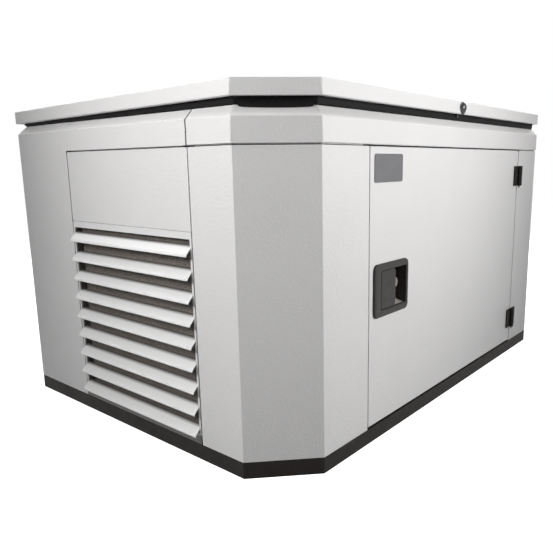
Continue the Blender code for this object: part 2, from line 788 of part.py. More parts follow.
def make_lid(paint, foam, lid_pivot):
    rows = [(LID_HEM, LID_BOTTOM), (0, LID_BOTTOM), (0, HEIGHT)]
    lid = lean(bent_sheet("lid", plan, rows, paint, lid_pivot, closed=True, cap=True))
    reach = Vector((0, 2 * LID_HEM, 0))
    hole = LOCK_SHAFT_RADIUS + LOCK_SHAFT_CLEARANCE
    bore(lid, cylinder("lock_hole", lock_centre() - reach, lock_centre() + reach, hole, sides=24))
    top = LID_CEILING - SEAT_GAP
    inset = SEAL_INNER + LINER_SETBACK
    lean(outline("lid_liner", plan(inset), top - LINER_THICKNESS, top, foam, pivot=lid_pivot))


def make_lid_lock(black, lock_pivot):
    outer = SEAT_GAP + LOCK_DOME
    profile = [
        (0, outer),
        (LOCK_RADIUS * 0.55, outer - LOCK_DOME * 0.12),
        (LOCK_RADIUS * 0.85, outer - LOCK_DOME * 0.44),
        (LOCK_RADIUS, outer - LOCK_DOME * 0.8),
        (LOCK_RADIUS, SEAT_GAP),
        (LOCK_SHAFT_RADIUS, SEAT_GAP),
        (LOCK_SHAFT_RADIUS, -LOCK_REACH),
        (0, -LOCK_REACH),
    ]
    centre = lock_centre()
    lock = turned("lid_lock", profile, centre, (0, -1, 0), black, lock_pivot, steps=24)
    back = centre.y + LOCK_REACH
    low = (-LOCK_BLADE_WIDTH / 2, back - LOCK_BLADE_THICKNESS, centre.z - LOCK_BLADE_LENGTH)
    weld(lock, box("lock_blade", low, (LOCK_BLADE_WIDTH / 2, back, centre.z)))


# ---------------------------------------------------------------- door


def latch_frame():
    """Left edge, right edge, bottom and top of the latch's flange."""
    left = DOOR_LEFT + LATCH_FROM_DOOR_EDGE
    return left, left + LATCH_WIDTH, LATCH_Z - LATCH_HEIGHT / 2, LATCH_Z + LATCH_HEIGHT / 2


def dish_centre():
    left, right, _, _ = latch_frame()
    return (left + right) / 2 + DISH_SHIFT


def dish_back():
    return DOOR_FACE + DISH_DEPTH


def paddle_axis():
    left = dish_centre() - DISH_WIDTH / 2 + DISH_WALL
    return Vector((left + PADDLE_PIN_INSET, DOOR_FACE - BOLT_NOSE_GAP, LATCH_Z))


def paddle_left():
    return paddle_axis().x - PADDLE_HEEL


def bolt_centre():
    """Middle of the bolt's nose."""
    depth = dish_back() + BOLT_BEHIND_DISH + BOLT_SIZE / 2
    return Vector((DOOR_LEFT - SEAM / 2 + BOLT_NOSE_GAP, depth, LATCH_Z))


def key_centre():
    x = paddle_left() + PADDLE_WIDTH + KEY_FROM_PADDLE
    return Vector((x, dish_back(), LATCH_Z + KEY_ABOVE_MIDDLE))


def make_door(paint, foam, plate_finish, door_pivot):
    left, right = DOOR_LEFT + SEAM / 2, DOOR_RIGHT - SEAM / 2
    source = bmesh.new()
    corners = [(left, DOOR_BOTTOM), (right, DOOR_BOTTOM), (right, PANEL_TOP), (left, PANEL_TOP)]
    outer = [source.verts.new((x, DOOR_FACE, z)) for x, z in corners]
    inner = [source.verts.new((x, DOOR_FACE + DOOR_RETURN, z)) for x, z in corners]
    source.faces.new(outer)
    for index in range(4):
        after = (index + 1) % 4
        source.faces.new((outer[after], outer[index], inner[index], inner[after]))
    door = thicken(add("door_panel", source, paint, door_pivot))
    wide, tall = (DISH_WIDTH + SHEET) / 2, (DISH_HEIGHT + SHEET) / 2
    centre = Vector((dish_centre(), DOOR_FACE, LATCH_Z))
    reach = Vector((wide, 2 * SHEET, tall))
    bore(door, box("latch_window", centre - reach, centre + reach))
    margin = 4 * SHEET
    low = Vector((latch_frame()[1] + margin, DOOR_FACE + SHEET + SEAT_GAP, DOOR_BOTTOM + margin))
    high = (right - margin, low.y + LINER_THICKNESS, PANEL_TOP - HOOD_LIP - margin)
    box("door_liner", low, high, foam, door_pivot)
    low = Vector((DOOR_LEFT + PLATE_FROM_DOOR_EDGE, DOOR_FACE - SEAT_GAP - PLATE_THICKNESS, PANEL_TOP))
    low.z -= PLATE_TOP_GAP + PLATE_HEIGHT
    size = Vector((PLATE_WIDTH, PLATE_THICKNESS, PLATE_HEIGHT))
    corner_rounding(box("rating_plate", low, low + size, plate_finish, door_pivot), PLATE_CORNER)


def corner_rounding(obj, radius):
    """Rounds the four edges that run from front to back."""
    source = bmesh.new()
    source.from_mesh(obj.data)
    edges = []
    for edge in source.edges:
        run = edge.verts[1].co - edge.verts[0].co
        if abs(run.y) > 0.9 * run.length:
            edges.append(edge)
    bmesh.ops.bevel(source, geom=edges, offset=radius, segments=4, profile=0.5, affect="EDGES")
    source.to_mesh(obj.data)
    source.free()


def make_latch_housing(plastic, door_pivot):
    left, right, bottom, top = latch_frame()
    seat = DOOR_FACE - SEAT_GAP
    low = (left, seat - LATCH_FLANGE, bottom)
    housing = box("latch_housing", low, (right, seat, top), plastic, door_pivot)
    corner_rounding(housing, LATCH_CORNER)
    centre, back = dish_centre(), dish_back()
    wide, tall = DISH_WIDTH / 2, DISH_HEIGHT / 2
    low = (centre - wide, seat - SHEET / 2, LATCH_Z - tall)
    weld(housing, box("dish", low, (centre + wide, back, LATCH_Z + tall)))
    bolt = bolt_centre()
    half = BOLT_SIZE / 2
    dish_left = centre - wide
    end = bolt.x + BOLT_LENGTH - 3 * DISH_WALL
    for near, far in ((dish_left - 4 * DISH_WALL, dish_left + DISH_WALL), (end - 4 * DISH_WALL, end)):
        low = (near, back - SHEET / 2, LATCH_Z - half - BOLT_BEHIND_DISH)
        high = (far, bolt.y + half + DISH_WALL, LATCH_Z + half + BOLT_BEHIND_DISH)
        weld(housing, box("bolt_guide", low, high))
    wide, tall = wide - DISH_WALL, tall - DISH_WALL
    low = (centre - wide, seat - 2 * LATCH_FLANGE, LATCH_Z - tall)
    bore(housing, box("pocket", low, (centre + wide, back - DISH_WALL, LATCH_Z + tall)))
    room = Vector((0, half + BOLT_CLEARANCE, half + BOLT_CLEARANCE))
    bore(housing, box("bolt_channel", bolt - room, bolt + room + Vector((LATCH_WIDTH, 0, 0))))
    axis = paddle_axis()
    reach = Vector((0, 0, tall + DISH_WALL))
    hole = PADDLE_PIN_RADIUS + PIN_CLEARANCE
    bore(housing, cylinder("paddle_pin_hole", axis - reach, axis + reach, hole, sides=16))
    slot = ARM_HEIGHT / 2 + ARM_CLEARANCE
    low = (axis.x - slot, back - BOLT_SIZE, LATCH_Z - slot)
    bore(housing, box("arm_slot", low, (axis.x + 2 * BOLT_SIZE, back + SHEET / 2, LATCH_Z + slot)))
    key = key_centre()
    reach = Vector((0, BOLT_SIZE, 0))
    bore(housing, cylinder("key_hole", key - reach, key + reach, KEY_RADIUS + PIN_CLEARANCE, sides=24))


def make_latch_works(plastic, metal, paddle_pivot, bolt_pivot, key_pivot):
    axis, bolt = paddle_axis(), bolt_centre()
    low = Vector((paddle_left(), axis.y - PADDLE_THICKNESS / 2, LATCH_Z - PADDLE_HEIGHT / 2))
    size = Vector((PADDLE_WIDTH, PADDLE_THICKNESS, PADDLE_HEIGHT))
    paddle = box("latch_paddle", low, low + size, plastic, paddle_pivot)
    corner_rounding(paddle, PADDLE_CORNER)
    reach = Vector((0, 0, DISH_HEIGHT / 2 - SEAT_GAP))
    weld(paddle, cylinder("paddle_pin", axis - reach, axis + reach, PADDLE_PIN_RADIUS, sides=16))
    low = (axis.x - ARM_THICKNESS / 2, axis.y, LATCH_Z - ARM_HEIGHT / 2)
    high = (axis.x + ARM_THICKNESS / 2, bolt.y + SHEET, LATCH_Z + ARM_HEIGHT / 2)
    weld(paddle, box("paddle_arm", low, high))
    half = Vector((0, BOLT_SIZE / 2, BOLT_SIZE / 2))
    body = box("latch_bolt", bolt - half, bolt + half + Vector((BOLT_LENGTH, 0, 0)), metal, bolt_pivot)
    notch = Vector((ARM_THICKNESS / 2 + ARM_CLEARANCE, BOLT_SIZE, ARM_HEIGHT / 2 + ARM_CLEARANCE))
    middle = Vector((axis.x, bolt.y, LATCH_Z))
    bore(body, box("bolt_notch", middle - notch, middle + notch))
    key = key_centre()
    front = Vector((key.x, DOOR_FACE + KEY_RECESS, key.z))
    back = key + Vector((0, KEY_BACK, 0))
    barrel = cylinder("key_barrel", front, back, KEY_RADIUS, metal, key_pivot, sides=24)
    low = (key.x - KEY_CAM_WIDTH / 2, back.y - KEY_CAM_THICKNESS, key.z)
    weld(barrel, box("key_cam", low, (key.x + KEY_CAM_WIDTH / 2, back.y, key.z + KEY_CAM_LENGTH)))
    slot = Vector((KEY_RADIUS / 2, KEY_RECESS, KEY_SLOT_WIDTH / 2))
    bore(barrel, box("key_slot", front - slot, front + slot))


# ---------------------------------------------------------------- engine and alternator


def crank(x):
    return Vector((x, CRANK_Y, CRANK_Z))


def cylinder_line(side):
    """Seat centre and direction of a cylinder. side is -1 for the front bank and 1 for the rear bank."""
    direction = Vector((0, side / ROOT2, 1 / ROOT2))
    return crank(CRANKCASE_MIDDLE + side * CYLINDER_OFFSET), direction


def head_start():
    return CYLINDER_SEAT + SEAT_GAP + FIN_COUNT * FIN_PITCH


def exhaust_ports():
    """Centre of each head's port on its right face."""
    ports = []
    for side in (-1, 1):
        base, direction = cylinder_line(side)
        ports.append(base + direction * (head_start() + HEAD_HEIGHT / 2) + Vector((HEAD_SIZE / 2, 0, 0)))
    return ports


def make_cradle(steel, rubber):
    front, rear = CRANK_Y - CRANKCASE_HALF_WIDTH, CRANK_Y + CRANKCASE_HALF_WIDTH
    left = CRANKCASE_LEFT - STATOR_LENGTH - END_BELL_THICKNESS
    right = CRANKCASE_RIGHT - RAIL_WIDTH / 4
    low = (left, front, CRADLE_BOTTOM)
    cradle = box("engine_cradle", low, (right, front + RAIL_WIDTH, CRADLE_TOP), steel)
    low = (left, rear - RAIL_WIDTH, CRADLE_BOTTOM)
    weld(cradle, box("rear_rail", low, (right, rear, CRADLE_TOP)))
    step = RAIL_WIDTH / 8
    for x in (left + RAIL_WIDTH / 2, right - 1.5 * RAIL_WIDTH):
        low = (x, front + step, CRADLE_BOTTOM + SHEET)
        weld(cradle, box("cross_rail", low, (x + RAIL_WIDTH, rear - step, CRADLE_TOP - SHEET)))
    sides = (("front", front + RAIL_WIDTH / 2), ("rear", rear - RAIL_WIDTH / 2))
    ends = (("left", left + RAIL_WIDTH), ("right", right - RAIL_WIDTH))
    low, high = BASE_FLOOR + SEAT_GAP, CRADLE_BOTTOM - SEAT_GAP
    flange = MOUNT_HEIGHT * 0.15
    profile = [
        (0, high),
        (MOUNT_RADIUS, high),
        (MOUNT_RADIUS, high - flange),
        (0.8 * MOUNT_RADIUS, (low + high) / 2),
        (MOUNT_RADIUS, low + flange),
        (MOUNT_RADIUS, low),
        (0, low),
    ]
    for side, y in sides:
        for end, x in ends:
            turned(f"rubber_mount_{side}_{end}", profile, (x, y, 0), (0, 0, 1), rubber, steps=20)


def dipstick_place():
    """Foot of the dipstick's tube, beside the crankcase."""
    x = CRANKCASE_LEFT + DIPSTICK_FROM_END
    return Vector((x, CRANK_Y - CRANKCASE_HALF_WIDTH - DIPSTICK_STANDOFF, CRANK_Z - DIPSTICK_FOOT_DROP))


def dipstick_seat():
    return CRANK_Z + DIPSTICK_TUBE_RISE


def make_crankcase(alloy):
    half = CRANKCASE_HALF_WIDTH
    crest = CYLINDER_SEAT * ROOT2
    bottom = CRADLE_TOP + SEAT_GAP - CRANK_Z
    section = [
        (-half, bottom),
        (half, bottom),
        (half, crest - half),
        (crest - INTAKE_SEAT, INTAKE_SEAT),
        (INTAKE_SEAT - crest, INTAKE_SEAT),
        (-half, crest - half),
    ]
    points = [(CRANK_Y + y, CRANK_Z + z) for y, z in section]
    case = outline("crankcase", points, CRANKCASE_LEFT, CRANKCASE_RIGHT, alloy, axis="X")
    foot = dipstick_place()
    side = TUBE_RADIUS + SHEET / 2
    low = (foot.x - side, foot.y - side, foot.z)
    boss = (foot.x + side, CRANK_Y - half + CASTING_WALL / 2, foot.z + TUBE_BOSS)
    weld(case, box("dipstick_boss", low, boss))
    top = Vector((foot.x, foot.y, dipstick_seat()))
    start = foot + Vector((0, 0, TUBE_BOSS - SHEET))
    weld(case, cylinder("dipstick_tube", start, top, TUBE_RADIUS, sides=24))
    start = foot + Vector((0, 0, CASTING_WALL))
    end = top + Vector((0, 0, CASTING_WALL))
    bore(case, cylinder("tube_bore", start, end, TUBE_BORE, sides=24))
    end = Vector((CRANKCASE_LENGTH, 0, 0))
    hole = SHAFT_RADIUS + SEAT_GAP
    bore(case, cylinder("crank_bore", crank(CRANKCASE_LEFT) - end, crank(CRANKCASE_RIGHT) + end, hole))
    inner = half - CASTING_WALL
    low = (CRANKCASE_LEFT + CASTING_WALL, CRANK_Y - inner, CRADLE_TOP + CASTING_WALL)
    high = (CRANKCASE_RIGHT - CASTING_WALL, CRANK_Y + inner, CRANK_Z + crest - half - CASTING_WALL)
    bore(case, box("crank_chamber", low, high))


def make_dipstick(plastic, pivot):
    place = dipstick_place()
    seat = dipstick_seat() + SEAT_GAP
    cap = TUBE_RADIUS + 3 * SHEET
    profile = [
        (0, seat + CAP_HEIGHT),
        (cap - 2 * SHEET, seat + CAP_HEIGHT),
        (cap, seat + CAP_HEIGHT - 3 * SHEET),
        (cap, seat),
        (STICK_RADIUS, seat),
        (STICK_RADIUS, seat - STICK_LENGTH),
        (0, seat - STICK_LENGTH),
    ]
    turned("dipstick", profile, (place.x, place.y, 0), (0, 0, 1), plastic, pivot, steps=20)


def make_cylinder(name, side, alloy):
    """Finned barrel, head and rocker cover of one bank."""
    base, direction = cylinder_line(side)
    near = CYLINDER_SEAT + SEAT_GAP
    far = head_start()
    profile = [(0, far + SHEET), (BARREL_CORE_RADIUS, far + SHEET)]
    for index in reversed(range(FIN_COUNT)):
        root = near + index * FIN_PITCH + FIN_THICKNESS
        profile += [(BARREL_CORE_RADIUS, root + FIN_THICKNESS), (FIN_RADIUS, root + 0.9 * FIN_THICKNESS)]
        profile += [(FIN_RADIUS, root + 0.1 * FIN_THICKNESS), (BARREL_CORE_RADIUS, root)]
    profile += [(BARREL_CORE_RADIUS, near), (0, near)]
    barrel = turned(name, profile, base, direction, alloy, steps=24)
    frame = Matrix.Translation(base) @ Matrix.Rotation(-side * math.pi / 4, 4, "X")
    half = HEAD_SIZE / 2
    top = far + HEAD_HEIGHT
    head = box(name + "_head", (-half, -half, far), (half, half, top), turn=frame)
    half = COVER_SIZE / 2
    high = (half, half, top + COVER_HEIGHT)
    cover = box(name + "_cover", (-half, -half, top - SHEET), high, turn=frame, bevel=3 * SHEET)
    weld(barrel, head, cover)


def stator_ends():
    right = CRANKCASE_LEFT - SEAT_GAP
    return right - STATOR_LENGTH, right


def make_alternator(alloy):
    left, right = stator_ends()
    reach = 0.1 * STATOR_LENGTH
    stator = cylinder("stator_housing", crank(left), crank(right), STATOR_RADIUS, alloy, sides=40)
    half = 0.8 * STATOR_RADIUS
    low = (left + reach, CRANK_Y - half, CRADLE_TOP + SEAT_GAP)
    weld(stator, box("stator_foot", low, (right - reach, CRANK_Y + half, CRANK_Z - half)))
    inner = ROTOR_RADIUS + AIR_GAP
    bore(stator, cylinder("stator_bore", crank(left - reach), crank(right + reach), inner, sides=40))
    right = left - SEAT_GAP
    left = right - END_BELL_THICKNESS
    bell = cylinder("alternator_end_bell", crank(left), crank(right), STATOR_RADIUS, alloy, sides=40)
    left, right = crank(left - SHEET), crank(right + SHEET)
    bore(bell, cylinder("bearing_bore", left, right, SHAFT_RADIUS + SEAT_GAP))
    for index in range(VENT_COUNT):
        angle = math.tau * (index + 0.5) / VENT_COUNT
        offset = Vector((0, math.cos(angle), math.sin(angle))) * VENT_CIRCLE
        bore(bell, cylinder("bell_vent", left + offset, right + offset, VENT_RADIUS, sides=20))


def make_rotor(dark, steel, rotor_pivot):
    stator_left, stator_right = stator_ends()
    core_right = stator_right - (STATOR_LENGTH - ROTOR_LENGTH) / 2
    core_left = core_right - ROTOR_LENGTH
    shaft_right = CRANKCASE_RIGHT + BLOWER_DEPTH - 6 * SHEET
    shaft_left = stator_left - END_BELL_THICKNESS - 2 * SHEET
    profile = [
        (0, shaft_right),
        (SHAFT_RADIUS, shaft_right),
        (SHAFT_RADIUS, core_right),
        (ROTOR_RADIUS, core_right),
        (ROTOR_RADIUS, core_left),
        (SHAFT_RADIUS, core_left),
        (SHAFT_RADIUS, shaft_left),
        (0, shaft_left),
    ]
    start, along_x = (0, CRANK_Y, CRANK_Z), (1, 0, 0)
    turned("alternator_rotor", profile, start, along_x, dark, rotor_pivot, steps=40)
    bore_radius = SHAFT_RADIUS + SEAT_GAP
    hub_left = CRANKCASE_RIGHT + FAN_GAP
    plate_right = hub_left + FLYWHEEL_THICKNESS
    hub_right = plate_right + HUB_LENGTH
    profile = [
        (bore_radius, hub_right),
        (2 * SHAFT_RADIUS, hub_right),
        (2 * SHAFT_RADIUS, plate_right),
        (FLYWHEEL_RADIUS, plate_right),
        (FLYWHEEL_RADIUS, hub_left),
        (bore_radius, hub_left),
        (bore_radius, hub_right),
    ]
    fan = turned("flywheel_fan", profile, start, along_x, steel, rotor_pivot, steps=40)
    half = FAN_BLADE_THICKNESS / 2
    for index in range(FAN_BLADES):
        turn = Matrix.Translation(crank(0)) @ Matrix.Rotation(math.tau * index / FAN_BLADES, 4, "X")
        low = (plate_right - SHEET / 2, -half, FLYWHEEL_RADIUS - FAN_BLADE_LENGTH)
        high = (plate_right + FAN_BLADE_DEPTH, half, FLYWHEEL_RADIUS - 2 * SHEET)
        weld(fan, box("fan_blade", low, high, turn=turn))


def make_blower_housing(plastic):
    left = CRANKCASE_RIGHT + SEAT_GAP
    right = left + BLOWER_DEPTH
    shell = cylinder("blower_housing", crank(left), crank(right), BLOWER_RADIUS, plastic, sides=40)
    hollow = crank(left - BLOWER_WALL), crank(right - BLOWER_WALL), BLOWER_RADIUS - BLOWER_WALL
    bore(shell, cylinder("blower_hollow", *hollow, sides=40))
    inlet = crank(right - 2 * BLOWER_WALL), crank(right + BLOWER_WALL), BLOWER_INLET_RADIUS
    bore(shell, cylinder("blower_inlet", *inlet, sides=32))


def make_intake(alloy, plastic):
    middle = CRANKCASE_MIDDLE
    low = CRANK_Z + INTAKE_SEAT + SEAT_GAP
    half = CARBURETTOR_WIDTH / 2
    reach = head_start() + HEAD_HEIGHT / 2
    inner = HEAD_SIZE / 2 + SEAT_GAP
    arch = CRANK_Z + (reach + inner) / ROOT2 + RUNNER_RISE
    high = (middle + half, CRANK_Y + half, arch)
    body = box("carburettor", (middle - half, CRANK_Y - half, low), high, alloy)
    halves = []
    for side in (-1, 1):
        base, direction = cylinder_line(side)
        inward = Vector((0, -side / ROOT2, 1 / ROOT2))
        port = base + direction * reach + inward * inner
        shoulder = Vector(((base.x + middle) / 2, CRANK_Y + side * RUNNER_SHOULDER, arch - 2 * SHEET))
        halves.append([port, port + inward * RUNNER_LEAD, port + inward * RUNNER_BEND, shoulder])
    points = [*halves[0], Vector((middle, CRANK_Y, arch)), *reversed(halves[1])]
    weld(body, tube("intake_runner", points, RUNNER_RADIUS))
    start = (middle - half - SEAT_GAP, CRANK_Y, low + AIR_CLEANER_RISE)
    radius, length = AIR_CLEANER_RADIUS, AIR_CLEANER_LENGTH
    rib = length - CLEANER_LID_DEPTH
    profile = [
        (0, length + 2 * CLEANER_EDGE),
        (CLEANER_EDGE, length + 2 * CLEANER_EDGE),
        (CLEANER_EDGE, length),
        (radius - CLEANER_EDGE, length),
        (radius, length - CLEANER_EDGE),
        (radius, rib + 0.8 * CLEANER_EDGE),
        (radius + CLEANER_EDGE / 2, rib + 0.5 * CLEANER_EDGE),
        (radius + CLEANER_EDGE / 2, rib - 0.5 * CLEANER_EDGE),
        (radius, rib - 0.8 * CLEANER_EDGE),
        (radius, CLEANER_NECK + CLEANER_EDGE),
        (radius - CLEANER_EDGE, CLEANER_NECK),
        (CLEANER_NECK_RADIUS, CLEANER_NECK),
        (CLEANER_NECK_RADIUS, 0),
        (0, 0),
    ]
    turned("air_cleaner", profile, start, (-1, 0, 0), plastic, steps=32)


def make_exhaust(metal):
    front_port, rear_port = exhaust_ports()
    height = front_port.z
    middle = (front_port.y + rear_port.y) / 2
    half = MUFFLER_LENGTH / 2
    centre, along_y = (MUFFLER_X, middle, height), (0, 1, 0)

    def shell(inset):
        radius, end, edge = MUFFLER_RADIUS - inset, half - inset, MUFFLER_EDGE
        rim = [(0, end), (radius - edge, end), (radius, end - edge)]
        return rim + [(wide, -distance) for wide, distance in reversed(rim)]

    muffler = turned("muffler", shell(0), centre, along_y, metal, steps=32)
    for port in (front_port, rear_port):
        start = port + Vector((SEAT_GAP, 0, 0))
        end = (MUFFLER_X, port.y, port.z)
        weld(muffler, cylinder("exhaust_pipe", start, end, EXHAUST_RADIUS, sides=20))
    for y in (middle - 0.6 * half, middle + 0.6 * half):
        low = (MUFFLER_X - LEG_WIDTH / 2, y - LEG_THICKNESS / 2, BASE_FLOOR + SEAT_GAP)
        top = height - MUFFLER_RADIUS / 2
        weld(muffler, box("muffler_leg", low, (MUFFLER_X + LEG_WIDTH / 2, y + LEG_THICKNESS / 2, top)))
    end = HALF_LENGTH - PANEL_INSET - LOUVRE_DEPTH - TAIL_PIPE_GAP
    outlet_z = height - TAIL_PIPE_DROP
    start = (MUFFLER_X, middle, outlet_z)
    weld(muffler, cylinder("tail_pipe", start, (end, middle, outlet_z), TAIL_PIPE_RADIUS, sides=20))
    bore(muffler, turned("muffler_hollow", shell(MUFFLER_WALL), centre, along_y, steps=32))
    beyond = (end + TAIL_PIPE_GAP / 2, middle, outlet_z)
    bore(muffler, cylinder("tail_bore", start, beyond, TAIL_PIPE_RADIUS - PIPE_WALL, sides=20))


def make_engine_fittings(metal, black):
    x = CRANKCASE_LEFT + FITTING_FROM_END
    face = CRANK_Y - CRANKCASE_HALF_WIDTH - SEAT_GAP
    edge = 3 * SHEET
    radius, length = FILTER_RADIUS, FILTER_LENGTH
    profile = [
        (0, length),
        (radius - edge, length),
        (radius, length - edge - SHEET),
        (radius, edge),
        (radius - edge, 2 * SHEET),
        (radius - edge, 0),
        (0, 0),
    ]
    turned("oil_filter", profile, (x, face, CRANK_Z - FILTER_DROP), (0, -1, 0), black, steps=28)
    radius, half = STARTER_RADIUS, STARTER_LENGTH / 2
    y = CRANK_Y + CRANKCASE_HALF_WIDTH + SEAT_GAP + radius
    z = CRANK_Z - STARTER_DROP
    starter = cylinder("starter_motor", (x - half, y, z), (x + half, y, z), radius, metal, sides=28)
    above = z + radius + 0.8 * SOLENOID_RADIUS
    ends = (x - 0.75 * half, y, above), (x + 0.4 * half, y, above)
    weld(starter, cylinder("solenoid", *ends, SOLENOID_RADIUS, sides=20))
    ends = (x + 0.9 * half, y, z), (x + 1.2 * half, y, z)
    weld(starter, cylinder("starter_nose", *ends, 0.6 * radius, sides=20))


# ---------------------------------------------------------------- battery, controls and fuel


def make_battery(black):
    low = Vector((BATTERY_LEFT, BATTERY_FRONT, BASE_FLOOR + SEAT_GAP))
    high = low + Vector(BATTERY_SIZE)
    case = box("battery", low, high, black, bevel=2 * SHEET)
    y = low.y + POST_SETBACK
    for x in (low.x + POST_SETBACK, high.x - POST_SETBACK):
        ends = (x, y, high.z - SHEET / 2), (x, y, high.z + 2 * POST_RADIUS)
        weld(case, cylinder("battery_post", *ends, POST_RADIUS, sides=16))


def control_spots():
    """Centres of the stop button, mode switch and breaker on the control panel's face."""
    z = CONTROL_BOTTOM + CONTROL_HEIGHT / 2
    width = PARTITION_X - CONTROL_LEFT
    return [Vector((CONTROL_LEFT + share * width, CONTROL_FRONT, z)) for share in CONTROL_SHARES]


def toggle_hub():
    return control_spots()[2] + Vector((0, TOGGLE_DEPTH, 0))


def make_control_box(grey):
    low = (CONTROL_LEFT, CONTROL_FRONT, CONTROL_BOTTOM)
    high = (PARTITION_X - SEAT_GAP, CONTROL_FRONT + CONTROL_DEPTH, CONTROL_BOTTOM + CONTROL_HEIGHT)
    case = box("control_box", low, high, grey)
    stop, switch, toggle = control_spots()
    reach = Vector((0, 1.4 * STEM_DEPTH, 0))
    hole = STEM_RADIUS + STEM_CLEARANCE
    for spot in (stop, switch):
        bore(case, cylinder("stem_hole", spot - reach, spot + reach, hole, sides=20))
    window = Vector((TOGGLE_WIDTH / 2 + STEM_CLEARANCE, 2 * TOGGLE_DEPTH, 1.3 * TOGGLE_DEPTH))
    bore(case, box("breaker_window", toggle - window, toggle + window))


def make_controls(red, black, stop_pivot, switch_pivot, toggle_pivot):
    stop, switch, _ = control_spots()
    face, back = Vector((0, -KNOB_REACH, 0)), Vector((0, STEM_DEPTH, 0))
    lift = Vector((0, -STOP_TRAVEL - SHEET / 2, 0))
    ends = stop + face, stop + lift
    button = cylinder("stop_button", *ends, STOP_RADIUS, red, stop_pivot, sides=28)
    weld(button, cylinder("stop_stem", stop + face / 2, stop + back, STEM_RADIUS, sides=20))
    lift = Vector((0, -SEAT_GAP, 0))
    ends = switch + face, switch + lift
    knob = cylinder("mode_switch", *ends, SWITCH_RADIUS, black, switch_pivot, sides=28)
    weld(knob, cylinder("switch_stem", switch + face / 2, switch + back, STEM_RADIUS, sides=20))
    half = Vector((GRIP_WIDTH / 2, GRIP_WIDTH / 2, 0.9 * SWITCH_RADIUS))
    tip = switch + face
    weld(knob, box("switch_grip", tip - half, tip + half))
    hub = toggle_hub()
    side = Vector((TOGGLE_WIDTH / 2, 0, 0))
    lever = cylinder("breaker_toggle", hub - side, hub + side, TOGGLE_RADIUS, black, toggle_pivot, sides=20)
    tilt = Matrix.Translation(hub) @ Matrix.Rotation(math.radians(TOGGLE_ANGLE), 4, "X")
    half = LEVER_THICKNESS / 2
    low = (-0.3 * TOGGLE_WIDTH, -LEVER_LENGTH, -half)
    weld(lever, box("toggle_lever", low, (0.3 * TOGGLE_WIDTH, 0, half), turn=tilt))


def make_fuel(alloy, rubber):
    seat = HALF_WIDTH - PANEL_BACK - SEAT_GAP
    radius, depth = REGULATOR_RADIUS, REGULATOR_DEPTH
    body = radius - REGULATOR_RIM
    profile = [
        (0, depth),
        (0.82 * radius, depth),
        (radius, 0.64 * depth),
        (radius, 0.5 * depth),
        (body, 0.35 * depth),
        (body, 0),
        (0, 0),
    ]
    regulator = turned("fuel_regulator", profile, (FUEL_X, seat, FUEL_Z), (0, -1, 0), alloy, steps=28)
    ends = (FUEL_X, seat - SHEET, FUEL_Z), (FUEL_X, HALF_WIDTH + INLET_REACH, FUEL_Z)
    weld(regulator, cylinder("fuel_inlet", *ends, INLET_RADIUS, sides=24))
    left = CRANKCASE_MIDDLE - CARBURETTOR_WIDTH / 2 - SEAT_GAP
    start_z = CRANK_Z + INTAKE_SEAT + HOSE_RISE
    port_y = seat - 0.57 * depth
    right = FUEL_X + radius
    route = [
        (left, CRANK_Y, start_z),
        (left - 0.010, CRANK_Y, start_z),
        (left - 0.024, CRANK_Y + 0.025, start_z),
        (left - 0.028, CRANK_Y + 0.140, start_z),
        (left - 0.050, port_y - 0.050, start_z - 0.010),
        (left - 0.110, port_y - 0.004, start_z - 0.050),
        (right + 0.020, port_y, FUEL_Z),
        (right + SEAT_GAP, port_y, FUEL_Z),
    ]
    tube("fuel_hose", route, HOSE_RADIUS, rubber, resolution=2)


# ---------------------------------------------------------------- assembly


